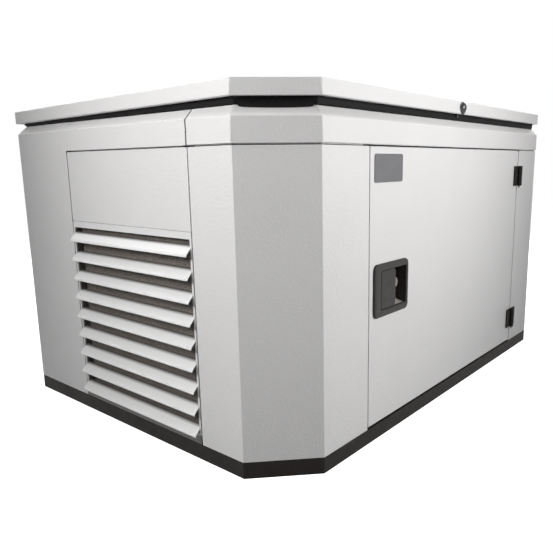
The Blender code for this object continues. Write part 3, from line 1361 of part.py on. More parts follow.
def main():
    paint = material("cream_paint", (0.78, 0.77, 0.75), 0.45)
    black = material("black_plastic", (0.03, 0.03, 0.03), 0.5)
    charcoal = material("charcoal_plastic", (0.07, 0.07, 0.07), 0.45)
    rubber = material("rubber", (0.02, 0.02, 0.02), 0.8)
    foam = material("grey_foam", (0.09, 0.085, 0.08), 0.95)
    steel = material("zinc_steel", (0.45, 0.45, 0.46), 0.45, 1.0)
    alloy = material("cast_alloy", (0.55, 0.55, 0.55), 0.5, 1.0)
    dark = material("lacquered_steel", (0.12, 0.06, 0.03), 0.5, 0.6)
    plate = material("plate_grey", (0.18, 0.18, 0.18), 0.4)
    grey = material("box_grey", (0.25, 0.26, 0.27), 0.5)
    red = material("red_plastic", (0.6, 0.02, 0.02), 0.4)

    lid_pivot = joint("lid_joint", lid_hinge_axis())
    lock_pivot = joint("lid_lock_joint", lock_centre())
    door_pivot = joint("door_joint", door_hinge_axis())
    paddle_pivot = joint("latch_paddle_joint", paddle_axis())
    bolt_pivot = joint("latch_bolt_joint", bolt_centre())
    key_pivot = joint("key_joint", key_centre())
    rotor_pivot = joint("crankshaft_joint", crank(0))
    dipstick_pivot = joint("dipstick_joint", dipstick_place())
    stop, switch, _ = control_spots()
    stop_pivot = joint("stop_joint", stop)
    switch_pivot = joint("switch_joint", switch)
    toggle_pivot = joint("toggle_joint", toggle_hub())

    make_base(black)
    make_shell(paint)
    make_louvre_panel("left_louvre_panel", -1, paint)
    make_louvre_panel("right_louvre_panel", 1, paint)
    make_seal(rubber)
    make_baffles(steel, foam)
    make_hinges(black, lid_pivot, door_pivot)
    make_lid(paint, foam, lid_pivot)
    make_lid_lock(black, lock_pivot)
    make_door(paint, foam, plate, door_pivot)
    make_latch_housing(charcoal, door_pivot)
    make_latch_works(charcoal, steel, paddle_pivot, bolt_pivot, key_pivot)
    make_cradle(black, rubber)
    make_crankcase(alloy)
    make_dipstick(black, dipstick_pivot)
    make_cylinder("cylinder_front", -1, alloy)
    make_cylinder("cylinder_rear", 1, alloy)
    make_alternator(alloy)
    make_rotor(dark, steel, rotor_pivot)
    make_blower_housing(black)
    make_intake(alloy, black)
    make_exhaust(steel)
    make_engine_fittings(steel, black)
    make_battery(black)
    make_control_box(grey)
    make_controls(red, black, stop_pivot, switch_pivot, toggle_pivot)
    make_fuel(alloy, rubber)


main()
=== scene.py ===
"""Looks of the home standby generator: finishes, small details and a white studio around the CAD frame."""

import json
import math

import bmesh
import bpy
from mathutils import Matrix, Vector


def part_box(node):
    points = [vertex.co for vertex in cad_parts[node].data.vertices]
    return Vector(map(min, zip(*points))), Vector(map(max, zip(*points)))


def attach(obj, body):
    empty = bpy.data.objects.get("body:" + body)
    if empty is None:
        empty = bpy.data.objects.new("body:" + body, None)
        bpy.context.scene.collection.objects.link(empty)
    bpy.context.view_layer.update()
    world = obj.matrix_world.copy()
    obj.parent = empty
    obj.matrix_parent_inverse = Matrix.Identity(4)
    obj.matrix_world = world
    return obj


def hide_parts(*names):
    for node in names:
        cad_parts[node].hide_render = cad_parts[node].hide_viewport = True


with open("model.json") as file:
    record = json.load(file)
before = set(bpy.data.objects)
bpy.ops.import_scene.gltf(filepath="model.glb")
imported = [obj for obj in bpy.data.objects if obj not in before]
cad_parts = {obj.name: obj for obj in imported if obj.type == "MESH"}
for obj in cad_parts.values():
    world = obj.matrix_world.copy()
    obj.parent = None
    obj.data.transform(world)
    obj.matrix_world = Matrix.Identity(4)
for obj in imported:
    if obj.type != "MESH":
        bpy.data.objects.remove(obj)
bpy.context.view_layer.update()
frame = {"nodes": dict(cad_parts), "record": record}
NODES = frame["nodes"]
SLOT_OF = {part["node"]: part["material_slot"] for part in frame["record"]["subparts"]}

# Camera
CAMERA_PLACE = (-1.2912, -1.0260, 0.5606)
CAMERA_ANGLES = (78.844, 0.654, -50.894)
CAMERA_LENS = 37.563
CAMERA_SENSOR = 36.0
CAMERA_SHIFT = (-0.0641, 0.00385)

# Studio
WHITE = (1.0, 1.0, 1.0)
SOFT_BOXES = (
    # name, place, aim, size, watts
    ("left_box", (-1.70, 0.13, 0.98), (-1.19, -1.16, 0.85), 0.47, 20.5),
    ("front_box", (0.17, -1.65, 0.79), (-1.03, -0.79, 1.29), 0.63, 22.5),
    ("corner_box", (-0.66, -0.31, 2.51), (-0.66, 0.42, 0.25), 0.98, 17.0),
    ("top_box", (0.4, 0.3, 2.6), (0.4, 0.3, 0.0), 1.8, 1.6),
    ("rear_box", (0.6, 2.6, 1.3), (0.0, 0.4, 0.3), 1.6, 26.0),
    ("right_box", (2.7, 0.5, 1.2), (0.6, 0.0, 0.3), 1.6, 34.0),
)
FILL = 0.125
FLOOR_SIDE = 14.0
FLOOR_BOUNCE = 0.08
FLOOR_SEEN = 0.90
FLOOR_GLOW = 0.91

# Bends and edges of sheet metal and castings
THIN = 0.0036
SHARP = math.radians(30)
RAW_EDGE = 0.2
WELD_WITHIN = 1e-5

# Plan of the enclosure and the rubber strip under the lid
CHAMFER_X = 0.107
CHAMFER_Y = 0.105
CHAMFER_SIDES = (1, 3)
LID_FALL = 0.008
SHOULDER_SLOPE = 1.06
SEAL_INSET = 0.0195
SEAL_WIDTH = 0.010
SEAL_OVER = 0.0022
SEAL_LAP = 0.0052
SEAL_ROUND = 0.15
SEAL_ENDS = 0.05
SEAL_SHARES = (
    # places along a chamfer, as shares of its length
    *(0.0, 0.05, 0.055, 0.07, 0.09, 0.12, 0.16, 0.22, 0.30),
    *(0.5, 0.70, 0.78, 0.84, 0.88, 0.91, 0.93, 0.945, 0.95),
)
SEAL_TIP = (
    # outward and up from the tip that hangs over the shoulder
    (0.0, 0.0004),
    (0.0018, 0.0012),
    (0.0027, 0.0032),
)
SEAL_BULGE = 0.0034
SEAL_BULGE_LOW = 0.0060
SEAL_BULGE_HIGH = 0.0100
SEAL_LAP_SHARE = 0.6
SEAL_NECK = 0.0022
SEAL_NECK_HEIGHT = 0.0180

# Strips behind the rear seams
SHEET = 0.002
SHOULDER_HEIGHT = 0.018
SEAM_BACK_HALF = 0.012
SEAM_BACK_THICKNESS = 0.0015
SEAM_BACK_GAP = 0.002
WELD_GAP = 0.0002

# Latch: its flange's rounded bezel, the dish in it, the paddle's face and the key
DISH_SHIFT = 0.007
DISH_HALF_WIDTH = 0.0495
DISH_HALF_HEIGHT = 0.040
DISH_BACK = 0.026
FLANGE_THICKNESS = 0.003
FLANGE_CORNER = 0.012
DISH_CORNER = 0.002
BEZEL_PROUD = 0.0015
BEZEL_ROUND = 0.003
BEZEL_STEPS = 4
BEZEL_OVER = 0.0003
BEZEL_THROAT = (
    # outward from the dish's edge, share of the bezel's height over the flange
    (0.0022, 1.0),
    (0.0010, 0.8),
    (0.0002, 0.2),
)
BEZEL_SKIRT = (
    # outward from the dish's edge, back from the flange's front
    (-0.0003, 0.0010),
    (-0.0003, 0.0050),
    (0.0006, 0.0050),
    (0.0030, 0.0010),
)
BEZEL_SEAT = (-0.0030, 0.0010)
PADDLE_GAP = 0.0007
PADDLE_CORNERS = (0.008, 0.0015, 0.0015, 0.008)
PADDLE_FACE = 0.0012
PADDLE_EDGE = (
    # inward from the paddle's outline, back from its face
    (0.0010, 0.0034),
    (0.0, 0.0026),
    (0.0, 0.0014),
    (0.0018, 0.0),
)
DISH_FLOOR_START = 0.006
DISH_FLOOR_RISE = 0.008
DISH_FLOOR_LEFT = 0.012
DISH_FLOOR_SKIN = 0.0004
DISH_FLOOR_BEND = 0.0016
DISH_FLOOR_CURL = 0.0030
DISH_FLOOR_GAP = 0.0003
LOCK_POINT = 0.25
LOCK_TAPER = 0.35
LOCK_SHARPNESS = 3
LOCK_STEPS = 32
LOCK_DOME = (
    # radius, back from the lock's front
    (0.0010, -0.0010),
    (0.0045, -0.0006),
    (0.0080, 0.0006),
    (0.0108, 0.0026),
    (0.0124, 0.0052),
    (0.0128, 0.0076),
    (0.0124, 0.0083),
)
RING_STEPS = 40
KEY_RADIUS = 0.0055
KEY_COLLAR = (
    # radius, back from the key's front
    (0.0056, 0.0006),
    (0.0064, 0.0000),
    (0.0104, 0.0004),
    (0.0118, 0.0018),
    (0.0118, 0.0046),
    (0.0070, 0.0060),
    (0.0056, 0.0060),
)

# Screws, battery and control panel
SCREW_HEAD = (
    # radius, height above the sheet
    (0.0050, 0.0),
    (0.0050, 0.0012),
    (0.0042, 0.0024),
    (0.0024, 0.0030),
    (0.0020, 0.0030),
    (0.0018, 0.0014),
)
SCREW_INSET = 0.011
BATTERY_POST = 0.016
POST_SETBACK = 0.030
CAP_SPREAD = 0.052
CAP_HALF = 0.046
CAP_NEAR = 0.016
CAP_FAR = 0.044
CAP_HEIGHT = 0.006
CAP_SINK = 0.0003
CLAMP_PROFILE = (
    # radius, height above the battery's top
    (0.0135, 0.0012),
    (0.0135, 0.0110),
    (0.0120, 0.0140),
    (0.0105, 0.0170),
    (0.0095, 0.0178),
)
CLAMP_EAR_HALF = 0.006
CLAMP_EAR_Y = (0.008, 0.030)
CLAMP_EAR_Z = (0.002, 0.013)
STRAP_OVER = 0.012
STRAP_HALF = 0.011
STRAP_GAP = 0.0003
STRAP_TOP = 0.0035
ROD_RADIUS = 0.003
ROD_PROUD = 0.014
STRAP_NUT = (
    # radius, height above the strap
    (0.0065, 0.0),
    (0.0065, 0.0060),
)
KNOB_RING_GAP = 0.0008
KNOB_RING_WIDTH = 0.0036
KNOB_RING_EDGE = 0.0012
KNOB_RING_HEIGHT = 0.0022
KNOB_RING_CHAMFER = 0.0010
FRAME_HALF = (0.0085, 0.0150)
FRAME_CORNER = 0.003
FRAME_PROFILE = (
    # outward from the breaker's opening, height above the panel
    (0.0, 0.0),
    (0.0, 0.002),
    (0.005, 0.002),
    (0.006, 0.001),
    (0.006, 0.0),
)

# Fuel inlet
INLET_GAP = 0.0002
INLET_WASHER = (
    # radius, distance behind the rear panel
    (0.0190, 0.0),
    (0.0190, 0.0010),
)
INLET_HEXAGON = (
    (0.0172, 0.0010),
    (0.0182, 0.0020),
    (0.0182, 0.0058),
    (0.0172, 0.0068),
)
THREAD_ROOT = 0.0121
THREAD_CREST = 0.0128
THREAD_PITCH = 0.0012
THREAD_FOOT = 0.0068
THREAD_START = 0.0070
THREAD_END = 0.0078
THREAD_RISE = 0.0004
THREAD_FALL = 0.0010

# Louvres
BLADE_COUNT = 9
BLADE_PITCH = 0.0437
BLADE_FIRST = 0.050
BLADE_RUN = 0.0125
BLADE_LIP = 0.0035
LOUVRE_STRIP = 0.005
LOUVRE_TOP_STRIP = 0.0135
BLADE_SECTION = (
    # outward from the panel's face, up from the blade's tip
    (0.0125, 0.0),
    (0.0125, 0.0030),
    (0.0106, 0.0034),
    (0.0104, 0.0046),
    (0.0112, 0.0050),
    (0.0060, 0.0102),
    (0.0000, 0.0162),
    (-0.0024, 0.0184),
    (-0.0050, 0.0202),
    (-0.0080, 0.0212),
    (-0.0080, 0.0197),
    (-0.0056, 0.0188),
    (-0.0034, 0.0172),
    (-0.0012, 0.0152),
    (0.0050, 0.0090),
    (0.0098, 0.0040),
    (0.0110, 0.0024),
    (0.0110, 0.0),
)
HOOD_LIP = 0.018
# Painted shade deep inside the louvres
RECESS_SHADE = (0.10, 0.09, 0.084)
# Painted shade in the seam under the hood and on the strip under the lowest blade, and how far below their
# edges it fades in
SEAM_SHADE = (0.025, 0.022, 0.020)
SEAM_SHADE_START = 0.0015
SEAM_SHADE_END = 0.0005
MAT_GAP = 0.0008
MAT_THICKNESS = 0.0025
MAT_PLEAT = 0.0060
MAT_PLEAT_DEPTH = 0.0012
MAT_EDGE = 0.002
# The painted shade inside the louvres is full this deep behind their face and fades out this far in front of
# it
RECESS_SHADE_DEPTH = 0.0055
RECESS_SHADE_START = 0.0015

# Colours
CREAM = (0.805, 0.795, 0.790)
# A lighter copy of the cream for the louvres: painted light
LIT_CREAM = (0.93, 0.926, 0.92)
FRAME_BLACK = (0.0110, 0.0088, 0.0078)
PLASTIC_BLACK = (0.016, 0.016, 0.016)
GLOSSY_BLACK = (0.012, 0.012, 0.013)
CHARCOAL = (0.037, 0.0325, 0.0315)
# A lighter copy of the charcoal for the latch's dish: painted light in its shade
LIT_CHARCOAL = (0.075, 0.066, 0.060)
# Light grey on the dish's sloped floor: a painted highlight
DISH_FLOOR_HIGHLIGHT = (0.46, 0.43, 0.385)
RUBBER_BLACK = (0.006, 0.0055, 0.0055)
FOAM_BROWN = (0.330, 0.295, 0.270)
MAT_BROWN = (0.26, 0.235, 0.215)
ZINC = (0.33, 0.33, 0.335)
NICKEL = (0.20, 0.185, 0.165)
CAST_GREY = (0.36, 0.36, 0.365)
LACQUER = (0.22, 0.09, 0.035)
PLATE_GREY = (0.150, 0.148, 0.155)
BOX_GREY = (0.25, 0.26, 0.27)
RED = (0.60, 0.02, 0.02)
CREAM_ROUGHNESS = 0.48

# Depths of the orange peel in paint and of the grain in plastic
PEEL = 0.0006
FRAME_PEEL = 0.00030
BOX_PEEL = 0.00008
GRAIN = 0.00004
LATCH_GRAIN = 0.00006
PLATE_GRAIN = 0.00002
GLOSSY_GRAIN = 0.00001
EVEN = (1, 1, 1)
DRAWN = (1, 1, 0.08)
FOAM_CELL = 0.0025
FOAM_PORE = 0.0010
NOISE_SPAN = (0.3, 0.7)


# ---------------------------------------------------------------- materials


def principled(name, colour, roughness, metallic=0.0, **sockets):
    """A new Principled material with its even values set on the shader's own sockets."""
    material = bpy.data.materials.new(name)
    material.use_nodes = True
    shader = material.node_tree.nodes["Principled BSDF"]
    shader.inputs["Base Color"].default_value = (*colour, 1)
    shader.inputs["Roughness"].default_value = roughness
    shader.inputs["Metallic"].default_value = metallic
    for socket, value in sockets.items():
        shader.inputs[socket.replace("_", " ")].default_value = value
    material.diffuse_color = (*colour, 1)
    return material, shader


def noise(tree, size, detail=2.0, stretch=EVEN):
    """Noise whose lumps are about size metres across."""
    place = tree.nodes.new("ShaderNodeTexCoord")
    mapping = tree.nodes.new("ShaderNodeMapping")
    mapping.inputs["Scale"].default_value = stretch
    texture = tree.nodes.new("ShaderNodeTexNoise")
    texture.inputs["Scale"].default_value = 1 / size
    texture.inputs["Detail"].default_value = detail
    tree.links.new(place.outputs["Object"], mapping.inputs["Vector"])
    tree.links.new(mapping.outputs["Vector"], texture.inputs["Vector"])
    return texture.outputs["Fac"]


def mottle(material, shader, colour, size, amount):
    """Varies the colour by a small share from place to place."""
    tree = material.node_tree
    ramp = tree.nodes.new("ShaderNodeValToRGB")
    shares = (1 - amount, 1 + amount)
    for element, position, share in zip(ramp.color_ramp.elements, NOISE_SPAN, shares):
        element.position = position
        element.color = (*(min(1, channel * share) for channel in colour), 1)
    tree.links.new(noise(tree, size, detail=4), ramp.inputs["Fac"])
    tree.links.new(ramp.outputs["Color"], shader.inputs["Base Color"])


def vary_roughness(material, shader, roughness, size, amount):
    """Varies the roughness by an amount from place to place."""
    tree = material.node_tree
    span = tree.nodes.new("ShaderNodeMapRange")
    span.inputs["From Min"].default_value, span.inputs["From Max"].default_value = NOISE_SPAN
    span.inputs["To Min"].default_value = roughness - amount
    span.inputs["To Max"].default_value = roughness + amount
    tree.links.new(noise(tree, size), span.inputs["Value"])
    tree.links.new(span.outputs["Result"], shader.inputs["Roughness"])


def relief(material, shader, layers):
    """Bumps of (size, depth, stretch) in metres, one over another."""
    tree = material.node_tree
    below = None
    for size, depth, stretch in layers:
        bump = tree.nodes.new("ShaderNodeBump")
        bump.inputs["Strength"].default_value = 1.0
        bump.inputs["Distance"].default_value = depth
        tree.links.new(noise(tree, size, stretch=stretch), bump.inputs["Height"])
        if below:
            tree.links.new(below, bump.inputs["Normal"])
        below = bump.outputs["Normal"]
    tree.links.new(below, shader.inputs["Normal"])


def powder_coat(name, colour, roughness, peel, gloss=0.5):
    """Powder paint with a fine orange peel over a coarser one."""
    material, shader = principled(name, colour, roughness, Specular_IOR_Level=gloss)
    mottle(material, shader, colour, size=0.09, amount=0.012)
    vary_roughness(material, shader, roughness, size=0.02, amount=0.04)
    relief(material, shader, [(0.0042, peel, EVEN), (0.0018, peel / 2, EVEN)])
    return material


def shade_beyond(material, axis, full_shade_at, no_shade_at, shade_colour):
    """Fades a coat into painted shade between a place in full shade and a place with none on an axis, the
    same on both sides of 0.
    """
    tree = material.node_tree
    shader = tree.nodes["Principled BSDF"]
    coat = shader.inputs["Base Color"].links[0].from_socket
    place = tree.nodes.new("ShaderNodeTexCoord")
    split = tree.nodes.new("ShaderNodeSeparateXYZ")
    out = tree.nodes.new("ShaderNodeMath")
    out.operation = "ABSOLUTE"
    share = tree.nodes.new("ShaderNodeMapRange")
    share.interpolation_type = "SMOOTHSTEP"
    share.inputs["From Min"].default_value = full_shade_at
    share.inputs["From Max"].default_value = no_shade_at
    mix = tree.nodes.new("ShaderNodeMixRGB")
    mix.inputs["Color1"].default_value = (*shade_colour, 1)
    tree.links.new(place.outputs["Object"], split.inputs["Vector"])
    tree.links.new(split.outputs[axis], out.inputs[0])
    tree.links.new(out.outputs[0], share.inputs["Value"])
    tree.links.new(share.outputs["Result"], mix.inputs["Fac"])
    tree.links.new(coat, mix.inputs["Color2"])
    tree.links.new(mix.outputs["Color"], shader.inputs["Base Color"])
    return material


def moulded(name, colour, roughness, grain=GRAIN, gloss=0.35):
    """Moulded plastic with a fine grain."""
    material, shader = principled(name, colour, roughness, Specular_IOR_Level=gloss)
    mottle(material, shader, colour, size=0.03, amount=0.06)
    vary_roughness(material, shader, roughness, size=0.008, amount=0.06)
    relief(material, shader, [(0.0010, grain, EVEN)])
    return material


def rubber(name, colour):
    """Dull rubber with a mottled bloom."""
    material, shader = principled(name, colour, 0.70, Specular_IOR_Level=0.12)
    mottle(material, shader, colour, size=0.02, amount=0.15)
    relief(material, shader, [(0.004, 0.0001, EVEN), (0.0008, 0.00003, EVEN)])
    return material


def foam(name, colour):
    """Open-cell acoustic foam: painted shade in the pores over a soft body."""
    material, shader = principled(name, colour, 0.95, Specular_IOR_Level=0.1, Sheen_Weight=0.2)
    tree = material.node_tree
    place = tree.nodes.new("ShaderNodeTexCoord")
    cells = tree.nodes.new("ShaderNodeTexVoronoi")
    cells.inputs["Scale"].default_value = 1 / FOAM_CELL
    ramp = tree.nodes.new("ShaderNodeValToRGB")
    # Painted shade: the pores darker than the foam's body
    ramp.color_ramp.elements[0].position = 0.05
    ramp.color_ramp.elements[0].color = (*(channel * 0.35 for channel in colour), 1)
    ramp.color_ramp.elements[1].position = 0.55
    ramp.color_ramp.elements[1].color = (*colour, 1)
    bump = tree.nodes.new("ShaderNodeBump")
    bump.inputs["Distance"].default_value = FOAM_PORE
    tree.links.new(place.outputs["Object"], cells.inputs["Vector"])
    tree.links.new(cells.outputs["Distance"], ramp.inputs["Fac"])
    tree.links.new(ramp.outputs["Color"], shader.inputs["Base Color"])
    tree.links.new(cells.outputs["Distance"], bump.inputs["Height"])
    tree.links.new(bump.outputs["Normal"], shader.inputs["Normal"])
    return material


def plated(name, colour, roughness):
    """Plated metal: faint cloudy spangle over fine drawing lines."""
    material, shader = principled(name, colour, roughness, metallic=1.0)
    mottle(material, shader, colour, size=0.02, amount=0.10)
    vary_roughness(material, shader, roughness, size=0.006, amount=0.08)
    relief(material, shader, [(0.0015, 0.00002, DRAWN)])
    return material


def cast(name, colour, roughness):
    """Cast metal with a sandy skin."""
    material, shader = principled(name, colour, roughness, metallic=1.0)
    mottle(material, shader, colour, size=0.012, amount=0.12)
    vary_roughness(material, shader, roughness, size=0.01, amount=0.08)
    relief(material, shader, [(0.0030, 0.00025, EVEN), (0.0009, 0.00008, EVEN)])
    return material


def make_finishes():
    """One material for each of the record's slots."""
    return {
        "cream_paint": powder_coat("cream_powder_coat", CREAM, CREAM_ROUGHNESS, PEEL),
        "black_frame": powder_coat("black_powder_coat", FRAME_BLACK, 0.62, FRAME_PEEL, gloss=0.12),
        "black_plastic": moulded("black_moulded_plastic", PLASTIC_BLACK, 0.38),
        "charcoal_plastic": moulded("charcoal_moulded_plastic", CHARCOAL, 0.52, LATCH_GRAIN, gloss=0.18),
        "rubber": rubber("black_rubber", RUBBER_BLACK),
        "acoustic_foam": foam("acoustic_foam", FOAM_BROWN),
        "zinc_steel": plated("zinc_plated_steel", ZINC, 0.34),
        "cast_alloy": cast("cast_aluminium", CAST_GREY, 0.48),
        "lacquered_steel": cast("lacquered_windings", LACQUER, 0.40),
        "plate_grey": moulded("plate_grey", PLATE_GREY, 0.48, PLATE_GRAIN),
        "box_grey": powder_coat("grey_powder_coat", BOX_GREY, 0.45, BOX_PEEL),
        "red_plastic": moulded("red_plastic", RED, 0.28, GLOSSY_GRAIN),
    }


# ---------------------------------------------------------------- edges of the CAD nodes


def corner(point):
    """A key that the copies of one corner share."""
    return tuple(round(value / WELD_WITHIN) for value in point)


def face_height(face, points):
    """Smallest height of a triangle, which is the sheet's thickness on its cut edges."""
    sides = [(points[face[i]] - points[face[i - 1]]).length for i in range(3)]
    area = (points[face[1]] - points[face[0]]).cross(points[face[2]] - points[face[0]]).length
    return area / max(sides)


def round_edges(name, width, segments=2):
    """Rounds a node's bends by width and its cut edges by less, and shades what is curved as smooth."""
    mesh = NODES[name].data
    points = [vertex.co.copy() for vertex in mesh.vertices]
    around = {}
    for polygon in mesh.polygons:
        loop = list(polygon.vertices)
        for start, end in zip(loop, loop[1:] + loop[:1]):
            key = tuple(sorted((corner(points[start]), corner(points[end]))))
            around.setdefault(key, []).append((polygon.normal.copy(), face_height(loop, points)))
    weights = mesh.attributes.new("bevel_weight_edge", "FLOAT", "EDGE")
    sharp = mesh.attributes.get("sharp_edge") or mesh.attributes.new("sharp_edge", "BOOLEAN", "EDGE")
    for edge in mesh.edges:
        key = tuple(sorted(corner(points[index]) for index in edge.vertices))
        sides = around[key]
        turn = sides[0][0].angle(sides[-1][0], 0.0)
        thick = min(height for _, height in sides) > THIN
        bend = turn > SHARP
        weights.data[edge.index].value = (1.0 if thick else RAW_EDGE) if bend else 0.0
        sharp.data[edge.index].value = bend
    mesh.polygons.foreach_set("use_smooth", [True] * len(mesh.polygons))
    node = NODES[name]
    weld = node.modifiers.new("weld", "WELD")
    weld.merge_threshold = WELD_WITHIN
    bevel = node.modifiers.new("rounding", "BEVEL")
    bevel.limit_method = "WEIGHT"
    bevel.width = width
    bevel.segments = segments
    bevel.use_clamp_overlap = False
    normals = node.modifiers.new("normals", "WEIGHTED_NORMAL")
    normals.keep_sharp = True


def paint(name, material):
    """Gives a CAD node one material."""
    node = NODES[name]
    node.data.materials.clear()
    node.data.materials.append(material)


# ---------------------------------------------------------------- modelled details


def piece(name, source, material, body, bends=0.0):
    """A new object from a bmesh that rides on a body."""
    mesh = bpy.data.meshes.new(name)
    bmesh.ops.recalc_face_normals(source, faces=source.faces)
    source.to_mesh(mesh)
    source.free()
    mesh.materials.append(material)
    mesh.shade_smooth()
    mesh.set_sharp_from_angle(angle=SHARP)
    made = bpy.data.objects.new(name, mesh)
    bpy.context.scene.collection.objects.link(made)
    if bends:
        bevel = made.modifiers.new("rounding", "BEVEL")
        bevel.width = bends
        bevel.segments = 2
        bevel.angle_limit = SHARP
        normals = made.modifiers.new("normals", "WEIGHTED_NORMAL")
        normals.keep_sharp = True
    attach(made, body)
    return made


def skin(source, rings, closed=False):
    """Skins rings of points. closed joins the last ring to the first, else both ends are capped."""
    made = [[source.verts.new(point) for point in ring] for ring in rings]
    pairs = list(zip(made, made[1:]))
    if closed:
        pairs.append((made[-1], made[0]))
    for lower, upper in pairs:
        for index in range(len(lower)):
            after = (index + 1) % len(lower)
            source.faces.new((lower[index], lower[after], upper[after], upper[index]))
    if not closed:
        source.faces.new(made[0])
        source.faces.new(list(reversed(made[-1])))
    return source


def stack(source, centre, axis, profile, steps):
    """Adds a turned form. profile is (radius, distance along the axis from the centre)."""
    axis, centre = Vector(axis), Vector(centre)
    across = Vector((axis.z, axis.x, axis.y))
    up = axis.cross(across)
    rings = []
    for radius, distance in profile:
        ring = []
        for step in range(steps):
            angle = 2 * math.pi * step / steps
            out = across * math.cos(angle) + up * math.sin(angle)
            ring.append(centre + axis * distance + out * radius)
        rings.append(ring)
    return skin(source, rings)


def block(source, low, high):
    """Adds a box between two corners."""
    rings = []
    for z in (low[2], high[2]):
        rings.append([(low[0], low[1], z), (high[0], low[1], z), (high[0], high[1], z), (low[0], high[1], z)])
    return skin(source, rings)


def between(start, end, share):
    """The point at a share of the way from start to end."""
    return tuple(a + (b - a) * share for a, b in zip(start, end))


def plan(inset):
    """The enclosure's outline in plan, moved in, from the left rear round the front to the right rear."""
    low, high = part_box("lid")
    slant = math.hypot(CHAMFER_X, CHAMFER_Y)
    left = [
        (low.x + inset, high.y - inset),
        (low.x + inset, low.y + CHAMFER_Y + inset * (slant - CHAMFER_Y) / CHAMFER_X),
        (low.x + CHAMFER_X + inset * (slant - CHAMFER_X) / CHAMFER_Y, low.y + inset),
    ]
    return left + [(-x, y) for x, y in reversed(left)]


def seal_section(height, lap):
    """Section of the seal as (outward, up) from its outer foot. lap is how far it hangs over the shoulder."""
    tip = SEAL_OVER + lap
    foot = -SHOULDER_SLOPE * lap
    return [
        (-SEAL_WIDTH, 0.0),
        (SEAL_OVER, 0.0),
        *((tip + out, foot + up) for out, up in SEAL_TIP),
        (SEAL_OVER + SEAL_BULGE + lap * SEAL_LAP_SHARE, SEAL_BULGE_LOW),
        (SEAL_OVER + SEAL_BULGE, SEAL_BULGE_HIGH),
        (SEAL_OVER + SEAL_NECK, SEAL_NECK_HEIGHT),
        (0.0, height),
        (-SEAL_WIDTH, height),
    ]


def make_seal(material):
    """Rubber strip that bulges in the gap under the lid and hangs over the shoulder at both chamfers."""
    low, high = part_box("lid_seal")
    lid_low, lid_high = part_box("lid")
    count = len(plan(0))
    rings = []
    for index in range(count):
        for share in SEAL_SHARES if index in CHAMFER_SIDES else (0.0,):
            inner = min(max((share - SEAL_ENDS) / (1 - 2 * SEAL_ENDS), 0.0), 1.0)
            lap = SEAL_LAP * max(math.sin(math.pi * inner), 0.0) ** SEAL_ROUND
            ring = []
            for out, up in seal_section(high.z - low.z, lap):
                corners = plan(SEAL_INSET - out)
                x, y = between(corners[index], corners[(index + 1) % count], share)
                fall = LID_FALL * (y - lid_low.y) / (lid_high.y - lid_low.y)
                ring.append((x, y, low.z + up - (fall if up > (high.z - low.z) / 2 else 0.0)))
            rings.append(ring)
    seal = piece("lid_seal_strip", skin(bmesh.new(), rings, closed=True), material, "root")
    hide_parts("lid_seal")


def rounded(centre, half, radii, y, steps=6):
    """Rounded rectangle facing the front at y. radii run from the right top corner anticlockwise."""
    points = []
    for quarter, (across, up) in enumerate(((1, 1), (-1, 1), (-1, -1), (1, -1))):
        radius = radii[quarter]
        for step in range(steps + 1):
            angle = math.pi / 2 * (quarter + step / steps)
            x = centre[0] + across * (half[0] - radius) + radius * math.cos(angle)
            z = centre[1] + up * (half[1] - radius) + radius * math.sin(angle)
            points.append((x, y, z))
    return points


def make_bezel(material):
    """Moulded rim over the latch's flange, rolled at its outer edge and turned down into the dish."""
    low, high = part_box("latch_housing")
    middle = ((low.x + high.x) / 2, (low.z + high.z) / 2)
    dish = (middle[0] + DISH_SHIFT, middle[1])
    half = ((high.x - low.x) / 2, (high.z - low.z) / 2)
    front = low.y

    def outer(grow, y):
        return rounded(middle, (half[0] + grow, half[1] + grow), (FLANGE_CORNER + grow,) * 4, y)

    def inner(grow, y):
        size = (DISH_HALF_WIDTH + grow, DISH_HALF_HEIGHT + grow)
        return rounded(dish, size, (DISH_CORNER + max(grow, 0),) * 4, y)

    rings = [outer(BEZEL_OVER, front + FLANGE_THICKNESS)]
    for step in range(BEZEL_STEPS + 1):
        angle = math.pi / 2 * step / BEZEL_STEPS
        grow = BEZEL_OVER - BEZEL_ROUND * (1 - math.cos(angle))
        rings.append(outer(grow, front - BEZEL_PROUD + BEZEL_ROUND * (1 - math.sin(angle))))
    rings += [inner(grow, front - BEZEL_PROUD * share) for grow, share in BEZEL_THROAT]
    rings += [inner(grow, front + back) for grow, back in BEZEL_SKIRT]
    grow, back = BEZEL_SEAT
    rings.append(outer(grow, front + back))
    piece("latch_bezel", skin(bmesh.new(), rings, closed=True), material, "door")


def make_dish_floor(material):
    """Sloped floor of the latch's dish, in a light grey that is a painted highlight."""
    low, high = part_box("latch_housing")
    x, z = (low.x + high.x) / 2 + DISH_SHIFT, (low.z + high.z) / 2 - DISH_HALF_HEIGHT
    back = low.y + FLANGE_THICKNESS + DISH_BACK
    section = [
        (low.y + DISH_FLOOR_START, z - DISH_FLOOR_SKIN),
        (low.y + DISH_FLOOR_START, z + DISH_FLOOR_SKIN),
        (low.y + DISH_FLOOR_START * 2, z + DISH_FLOOR_BEND),
        (back - DISH_FLOOR_CURL, z + DISH_FLOOR_RISE),
        (back - DISH_FLOOR_GAP, z + DISH_FLOOR_RISE + DISH_FLOOR_CURL),
        (back - DISH_FLOOR_GAP, z - DISH_FLOOR_SKIN),
    ]
    ends = [x - DISH_HALF_WIDTH + DISH_FLOOR_LEFT, x + DISH_HALF_WIDTH - DISH_FLOOR_GAP]
    rings = [[(end, y, height) for y, height in section] for end in ends]
    piece("latch_dish_floor", skin(bmesh.new(), rings), material, "door")


